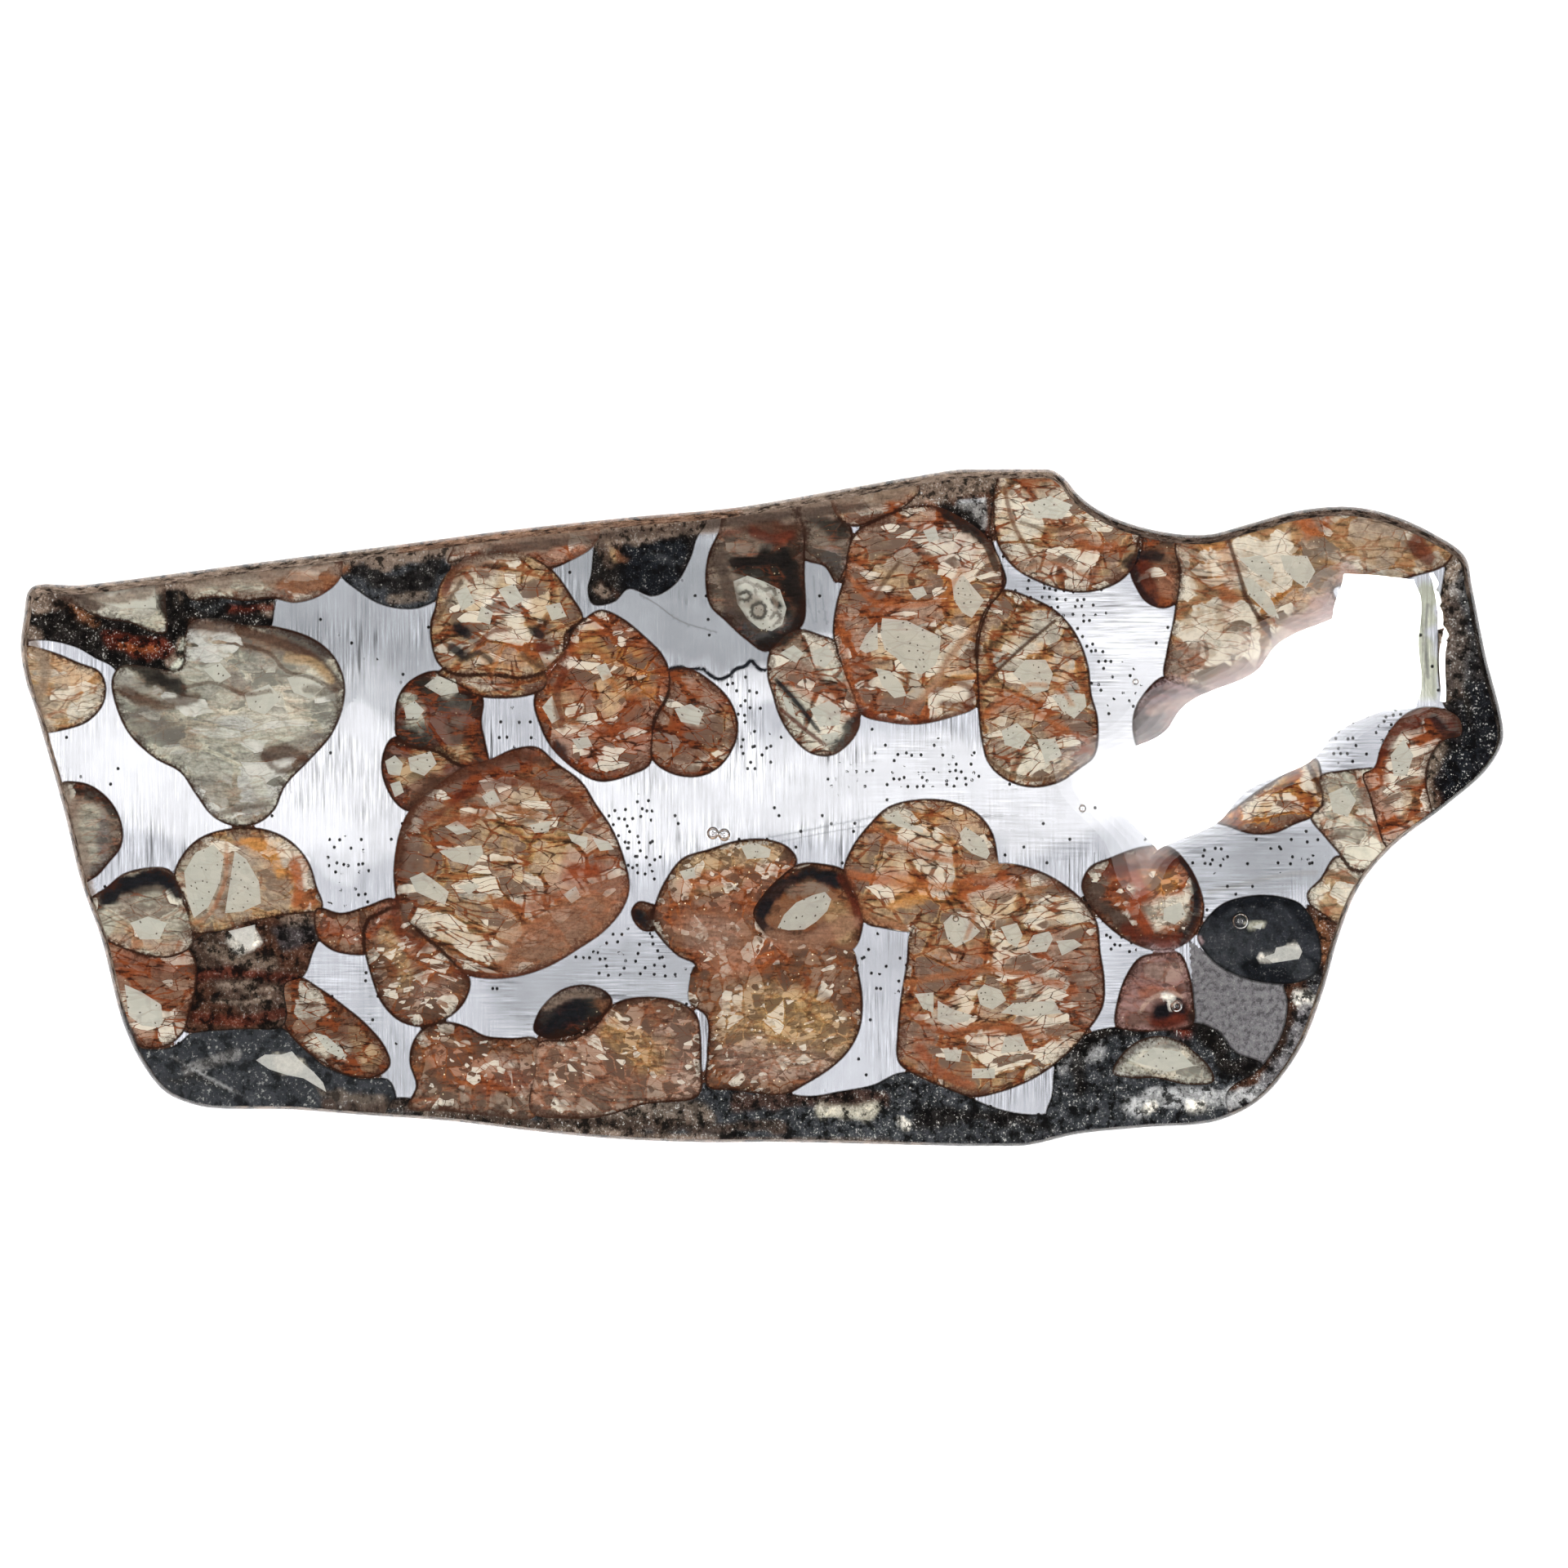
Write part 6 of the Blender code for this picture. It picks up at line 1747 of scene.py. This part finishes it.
def build_slab():
    """One object for each node of the slab, with the attributes that its material reads."""
    for name in (*outlines, *METAL_STRETCHES, "metal_main", "dark_seams"):
        chosen = owner == name
        triangles = cut_triangles[chosen]
        metal = name.startswith("metal")
        nodes = () if name == "dark_seams" else (name,)
        look = LOOKS.get(name, bright_metal if metal else honey)
        piece, used = slab_piece(name + "_face", triangles, look, SLOTS.get(name, "crust"), nodes)
        flat = cut_points[used]
        if metal:
            borders = grain_starts, grain_ends
        else:
            borders = grain_borders(outlines.get(name, [slab_edge]))
        edge = distance_to(flat, *borders) / MM
        store(piece, "edge", "FLOAT", "POINT", np.tile(edge, 2))
        if metal:
            ground = np.tile(PALETTE[METAL_TONES.get(name, "bright_steel")], (len(flat), 1))
            # The metal's tone holds a painted highlight band across the middle and painted shade at the top
            # and bottom
            tone = painted_over(painted_over(ground, flat, METAL_STROKES), flat, WEATHERING)
            for mask, strokes in METAL_MASKS.items():
                store(piece, mask, "FLOAT", "POINT", np.tile(masked(flat, strokes), 2))
        else:
            tone = painted(name, flat)
        tone = np.column_stack((tone, np.ones(len(flat))))
        store(piece, "tone", "FLOAT_COLOR", "POINT", np.tile(tone, (2, 1)))
        # Worn spots lie under the weathering strokes, and on crystals and crusts also under the stain rows,
        # which hold the painted shade and highlights of the bubble and the coat's edge
        weathering = WEATHERING if metal else STAINS_AND_PAINTED_LIGHT + WEATHERING
        store(piece, "worn", "FLOAT", "POINT", np.tile(masked(flat, weathering), 2))
        if metal:
            continue
        store(piece, "quiet", "FLOAT", "POINT", np.tile(masked(flat, QUIET), 2))
        clean = np.zeros(len(piece.data.polygons))
        clean[:2 * len(triangles)] = np.tile(in_window[chosen], 2)
        store(piece, "window", "FLOAT", "FACE", clean)


# The weathered skin on the slab's flank: how far in from the silhouette it is at each height, in metres
SKIN = (
    (0.56 * MM, SLAB_TOP), (0.34 * MM, SLAB_TOP - 0.35 * MM), (0.16 * MM, SLAB_TOP - 1.1 * MM),
    (0.12 * MM, SLAB_TOP - 1.8 * MM), (0.20 * MM, SLAB_BOTTOM + 0.3 * MM), (0.56 * MM, SLAB_BOTTOM),
)
SKIN_LUMPS = 0.05 * MM
SKIN_WAVES = (37, 83, 149)
SKIN_OVERLAP = 0.02 * MM
# How fast the streaks' pattern runs along the flank, from row to row and up, for each millimetre or row
STREAK_ALONG, STREAK_ROWS, STREAK_UP = 0.8, 1.5, 2.0
SKIN_STROKES = strokes_of("""
bark 40 0.9  60,725 300,695 560,660 820,630 1040,600 1150,580
brown 14 0.5  500,680 760,645 900,630
dark_bark 30 0.9  1340,610 1390,640 1440,650 1500,650
dark_bark 30 0.8  1540,636 1620,618 1700,624 1780,664 1804,700
black 50 0.95  1815,760 1835,860 1838,920 1780,990
bark 30 0.6  1710,1030 1660,1090
dark_bark 30 0.9  1645,1150 1620,1250 1550,1350
charcoal 30 0.8  1500,1370 1320,1390 1150,1400
bark 24 0.9  1120,1400 850,1398 560,1375 300,1358
charcoal 30 0.8  260,1355 190,1330 160,1270
bark 30 0.9  140,1220 100,1080 60,930 28,800
""")


def build_skin():
    """The slab's rough flank: its profile carried round the silhouette, closed by two rows inside the slab.

    Each row but the first and last is pushed in by the mean of three sine waves round the silhouette,
    which each row starts at a place of its own.
    """
    count = len(silhouette)
    along = np.arange(count)[:, None] / count * 2 * np.pi
    rows = []
    for number, (reach, height) in enumerate(SKIN):
        wave = sum(np.sin(along * n + number * n) for n in SKIN_WAVES) / len(SKIN_WAVES)
        held = number in (0, len(SKIN) - 1)
        lump = 0.0 if held else SKIN_LUMPS * (wave + 1) / 2
        row = inset(reach + lump, EDGE_COAT_TILT * held)
        rows.append(np.column_stack((row, np.full(count, height))))
    inner = slab_edge - edge_normals * SKIN_OVERLAP
    rows += [np.column_stack((inner, np.full(count, z))) for z in (SLAB_BOTTOM, SLAB_TOP)]
    number = np.arange(len(rows) * count).reshape(len(rows), count)
    number = np.concatenate((number, number[:1]))
    right = np.roll(number, -1, axis=1)
    faces = np.stack((number[1:], right[1:], right[:-1], number[:-1]), axis=2).reshape(-1, 4)
    points = np.concatenate(rows)
    piece = new_piece("weathered_skin", points, faces, skin, "crust", ())
    length = np.linalg.norm(np.roll(silhouette, -1, axis=0) - silhouette, axis=1)
    length = np.concatenate(([0.0], np.cumsum(length)[:-1])) / MM
    streaks = np.zeros((len(rows), count, 3))
    streaks[:, :, 0] = STREAK_ALONG * length
    streaks[:, :, 1] = STREAK_ROWS * np.arange(len(rows))[:, None]
    streaks[:, :, 2] = STREAK_UP * (points[:, 2].reshape(len(rows), count) / MM)
    store(piece, "streaks", "FLOAT_VECTOR", "POINT", streaks.reshape(-1, 3))
    flat = points[:, :2]
    tone = painted_over(np.tile(PALETTE["bark"], (len(flat), 1)), flat, SKIN_STROKES)
    store(piece, "tone", "FLOAT_COLOR", "POINT", np.column_stack((tone, np.ones(len(tone)))))
    store(piece, "edge", "FLOAT", "POINT", np.ones(len(flat)))


# The coat's rounded edge: how far in it reaches and how high it goes, at the foot and at the shoulder
BACK_ROUND = 0.9 * MM
BACK_RISE = 0.35 * MM
FRONT_ROUND = 1.8 * MM
FRONT_RISE = 1.0 * MM
FRONT_POWER = 1.2
RINGS = 9

# How finely the coat's flat top and back are cut, and the top's faint waves
TOP_GRID = 0.4 * MM
BACK_GRID = TOP_GRID * 6
SWELL = 0.0016 * MM
SWELL_LENGTH = 9.0 * MM
SWELL_FADE = 4 * MM
# Each wave: its turns along the slice and across it in the length above, and where it starts
SWELL_WAVES = ((1.0, 0.6, 0.0), (0.7, -1.1, 1.3), (0.35, 1.9, 4.0))

# Air bubbles: middle and radius in pixels
BUBBLES = (
    (873, 1020, 8), (887, 1022, 8), (1440, 1232, 8), (1518, 1128, 11),
    (1325, 990, 5), (1390, 835, 4), (1170, 1125, 4), (1068, 1063, 4),
)
BUBBLE_TURNS = 24
BUBBLE_HEIGHT = 0.42 * MM
COAT_WELD = 0.002 * MM


def coat_rings():
    """How far in the coat's side is at each height, as an angle a runs through a quarter turn twice.

    At the foot, the reach in is BACK_ROUND (1 - sin a) and the height is BACK_RISE (1 - cos a). At the
    shoulder, the reach in is FRONT_ROUND (1 - cos a) to the power of FRONT_POWER, and the height is
    FRONT_RISE (1 - sin a) below the top.
    """
    angle = np.linspace(0, np.pi / 2, RINGS)
    foot = [(BACK_ROUND * (1 - np.sin(a)), BACK_RISE * (1 - np.cos(a))) for a in angle]
    shoulder = [
        (FRONT_ROUND * (1 - np.cos(a)) ** FRONT_POWER, COAT_TOP - FRONT_RISE * (1 - np.sin(a)))
        for a in angle
    ]
    return foot + shoulder


def cap(loop, height, step):
    """A loop filled with triangles over a staggered grid, raised to a height that may vary."""
    grid = staggered(loop, step)
    grid = grid[inside(grid, loop)]
    grid = grid[distance_to(grid, *runs(loop)) > step / 2]
    points, triangles = cut_plane([loop], grid)
    triangles = triangles[inside(points[triangles].mean(1), loop)]
    return np.column_stack((points, height(points))), triangles


def swell(points, rim):
    """The top's height: three crossed sine waves below the flat top, fading to nothing at the shoulder."""
    fade = smooth_step(0, SWELL_FADE, distance_to(points, *runs(rim), SWELL_FADE))
    x, y = (points / SWELL_LENGTH * 2 * np.pi).T
    waves = sum(np.sin(along * x + across * y + start) for along, across, start in SWELL_WAVES)
    return COAT_TOP - SWELL * fade * (len(SWELL_WAVES) - waves) / 2


def bubble(x, y, radius):
    """An air bubble in the coat over the slab: round, no taller than fits, with faces that look inwards."""
    radius = radius * PIXEL
    radius_up = min(radius, BUBBLE_HEIGHT)
    turn = np.linspace(0, 2 * np.pi, BUBBLE_TURNS, endpoint=False)
    tilt = np.linspace(-np.pi / 2, np.pi / 2, BUBBLE_TURNS // 2)[1:-1]
    turn, tilt = np.meshgrid(turn, tilt)
    middle = metres((x, y))
    height = SLAB_TOP + (COAT_TOP - SLAB_TOP) / 2
    points = np.stack((middle[0] + radius * np.cos(tilt) * np.cos(turn),
                       middle[1] + radius * np.cos(tilt) * np.sin(turn),
                       height + radius_up * np.sin(tilt)), axis=2).reshape(-1, 3)
    rows = BUBBLE_TURNS // 2 - 2
    poles = np.array(((*middle, height - radius_up), (*middle, height + radius_up)))
    number = np.arange(rows * BUBBLE_TURNS).reshape(rows, BUBBLE_TURNS)
    right = np.roll(number, -1, axis=1)
    faces = [np.stack((number[:-1], number[1:], right[1:], right[:-1]), axis=2).reshape(-1, 4).tolist()]
    south = np.full(BUBBLE_TURNS, rows * BUBBLE_TURNS)
    faces.append(np.stack((right[0], south, number[0]), axis=1).tolist())
    faces.append(np.stack((number[-1], south + 1, right[-1]), axis=1).tolist())
    return np.concatenate((points, poles)), [face for group in faces for face in group]


def build_resin():
    """The clear coat: a foot and a shoulder carried round the silhouette, two caps, and its air bubbles."""
    rings = coat_rings()
    loops = [inset(reach) for reach, _ in rings]
    count = len(silhouette)
    side = np.concatenate([np.column_stack((loop, np.full(count, z))) for loop, (_, z) in zip(loops, rings)])
    number = np.arange(len(rings) * count).reshape(len(rings), count)
    right = np.roll(number, -1, axis=1)
    walls = np.stack((number[:-1], right[:-1], right[1:], number[1:]), axis=2).reshape(-1, 4).tolist()
    top, top_faces = cap(loops[-1], lambda p: swell(p, loops[-1]), TOP_GRID)
    back, back_faces = cap(loops[0], lambda p: np.zeros(len(p)), BACK_GRID)
    meshes = [(side, walls), (top, top_faces.tolist()), (back, back_faces[:, ::-1].tolist())]
    meshes += [bubble(*spot) for spot in BUBBLES]
    points, faces, start = [], [], 0
    for part_points, part_faces in meshes:
        points.append(part_points)
        faces += [[i + start for i in face] for face in part_faces]
        start += len(part_points)
    resin = new_piece("resin", np.concatenate(points), faces, clear_resin(), "resin",
                      ("resin_back", "resin_front"))
    weld = resin.modifiers.new("weld", "WELD")
    weld.merge_threshold = COAT_WELD
    resin.data.shade_smooth()


# Half the floor's side. The sky is darker straight overhead, between two heights of its unit vector.
FLOOR_REACH = 1.5
SKY_FADE = (0.90, 0.98)
SKY_LIGHT = 1.0
SKY_ZENITH = 0.12


def build_stage():
    """A plain pale floor, and a soft sky that doesn't mirror in the coat."""
    paint = Paint(bpy.data.materials.new("pale_floor"))
    floor_colour = {"Base Color": (0.95, 0.95, 0.95, 1.0), "Roughness": 0.6, "Specular IOR Level": 0.2}
    material = paint.finish(paint.node("BsdfPrincipled", None, floor_colour))
    mesh = bpy.data.meshes.new("floor")
    corners = [(x * FLOOR_REACH, y * FLOOR_REACH, 0.0) for x, y in ((-1, -1), (1, -1), (1, 1), (-1, 1))]
    mesh.from_pydata(corners, [], [(0, 1, 2, 3)])
    mesh.materials.append(material)
    floor = bpy.data.objects.new("floor", mesh)
    bpy.context.scene.collection.objects.link(floor)

    world = bpy.data.worlds.new("soft_sky")
    bpy.context.scene.world = world
    world.cycles_visibility.glossy = False
    sky = Paint(world, "Generated")
    up = sky.node("SeparateXYZ", None, {0: sky.place}, out="Z")
    strength = sky.step(up, *SKY_FADE, SKY_LIGHT, SKY_ZENITH)
    light = sky.node("Background", None, {"Color": (1.0, 1.0, 1.0, 1.0), "Strength": strength})
    sky.finish(light, output="OutputWorld")


# The camera: metres above the slab, its sensor in millimetres, and how near it starts to see
CAMERA_HEIGHT = 0.40
SENSOR = 36.0
CLIP_START = 0.01


def build_camera():
    """A camera that looks straight down and frames the photograph's square."""
    data = bpy.data.cameras.new("camera")
    camera = bpy.data.objects.new("camera", data)
    middle = metres((PHOTO_SIDE / 2, PHOTO_SIDE / 2))
    camera.location = (*middle, SLAB_TOP + CAMERA_HEIGHT)
    data.sensor_width = SENSOR
    data.lens = SENSOR * CAMERA_HEIGHT / (PHOTO_SIDE * PIXEL)
    data.clip_start = CLIP_START
    bpy.context.scene.collection.objects.link(camera)
    bpy.context.scene.camera = camera


# The strip lamp: metres above the coat, then its mirror image's middle, size and turn in the picture
LAMP_HEIGHT = 0.60
LAMP_CENTRE = (1538, 898)
LAMP_LENGTH_PIXELS, LAMP_WIDTH_PIXELS = 360, 128
LAMP_TURN = np.radians(33.5)
# How much larger a lamp is than its mirror image in the flat top
MIRROR_SPREAD = 1 + LAMP_HEIGHT / CAMERA_HEIGHT

# The strip lamp's halo: ever larger lamps, each a little higher and moved further left in the picture.
# The largest is HALO_REACH metres larger and moved by HALO_SHIFT pixels.
STRIP_RADIANCE = 40.0
HALO_RADIANCE = 1.3
HALO_STEPS = 5
HALO_POWER = 1.5
HALO_REACH = 0.009
HALO_LIFT = 0.001
HALO_SHIFT = (-24.0, 2.0)
# Further lamps that mirror in the coat: middle, size in the picture's pixels, turn
MIRRORED = {
    "block_lamp": ((1684, 792), (88, 148), 0.0),
    "edge_lamp_top": ((1755, 737), (9, 66), 0.12), "edge_lamp_foot": ((1760, 815), (8, 96), -0.16),
}


def mirrored(pixel):
    """Where a lamp hangs whose mirror image in the flat top shows at a pixel."""
    middle = metres((PHOTO_SIDE / 2, PHOTO_SIDE / 2))
    return middle + (metres(pixel) - middle) * MIRROR_SPREAD


# Panels that only light the slab: middle and size in metres, radiance
PANELS = {
    "wide_panel": ((0.0, 0.0), (0.60, 0.50), 0.85),
    "band_panel": ((0.0, 0.002), (0.60, 0.026), 72.0),
    "glow_panel": (tuple(mirrored((1400, 880))), (0.13, 0.11), 9.0),
    "left_panel": ((-0.60, 0.0), (0.50, 1.20), 3.0),
    "right_panel": ((0.60, 0.0), (0.50, 1.20), 3.0),
}

# Watts that a lamp of one square metre takes for a radiance of one
LAMP_WATTS = 4


def lamp(name, place, size, radiance, turn=0.0, lift=0.0):
    """A rectangular lamp that hangs over the coat and shines straight down."""
    data = bpy.data.lights.new(name, "AREA")
    data.shape = "RECTANGLE"
    data.size, data.size_y = size
    data.energy = LAMP_WATTS * radiance * size[0] * size[1]
    made = bpy.data.objects.new(name, data)
    made.location = (*place, COAT_TOP + LAMP_HEIGHT + lift)
    made.rotation_euler = (0.0, 0.0, turn)
    bpy.context.scene.collection.objects.link(made)
    return made


def build_lamps():
    """Lamps whose mirror images are the white patch and its halo, and panels that only light the slab."""
    size = np.multiply((LAMP_LENGTH_PIXELS, LAMP_WIDTH_PIXELS), PIXEL * MIRROR_SPREAD)
    shown = [lamp("strip_lamp", mirrored(LAMP_CENTRE), size, STRIP_RADIANCE, LAMP_TURN)]
    for name, (pixel, pixels, turn) in MIRRORED.items():
        spread = np.multiply(pixels, PIXEL * MIRROR_SPREAD)
        shown.append(lamp(name, mirrored(pixel), spread, STRIP_RADIANCE, turn, -HALO_LIFT * len(shown)))
    for step in range(1, HALO_STEPS + 1):
        share = (step / HALO_STEPS) ** HALO_POWER
        centre = mirrored(np.add(LAMP_CENTRE, np.multiply(HALO_SHIFT, share)))
        halo_size = size + HALO_REACH * share
        halo = lamp(f"halo_{step}", centre, halo_size, HALO_RADIANCE, LAMP_TURN, HALO_LIFT * step)
        halo.visible_diffuse = False
        shown.append(halo)
    for each in shown:
        each.visible_transmission = False
    for name, (place, size, radiance) in PANELS.items():
        lamp(name, place, size, radiance).visible_glossy = False


build_slab()
build_skin()
build_resin()
build_stage()
build_camera()
build_lamps()
bpy.context.scene.view_settings.view_transform = "Standard"
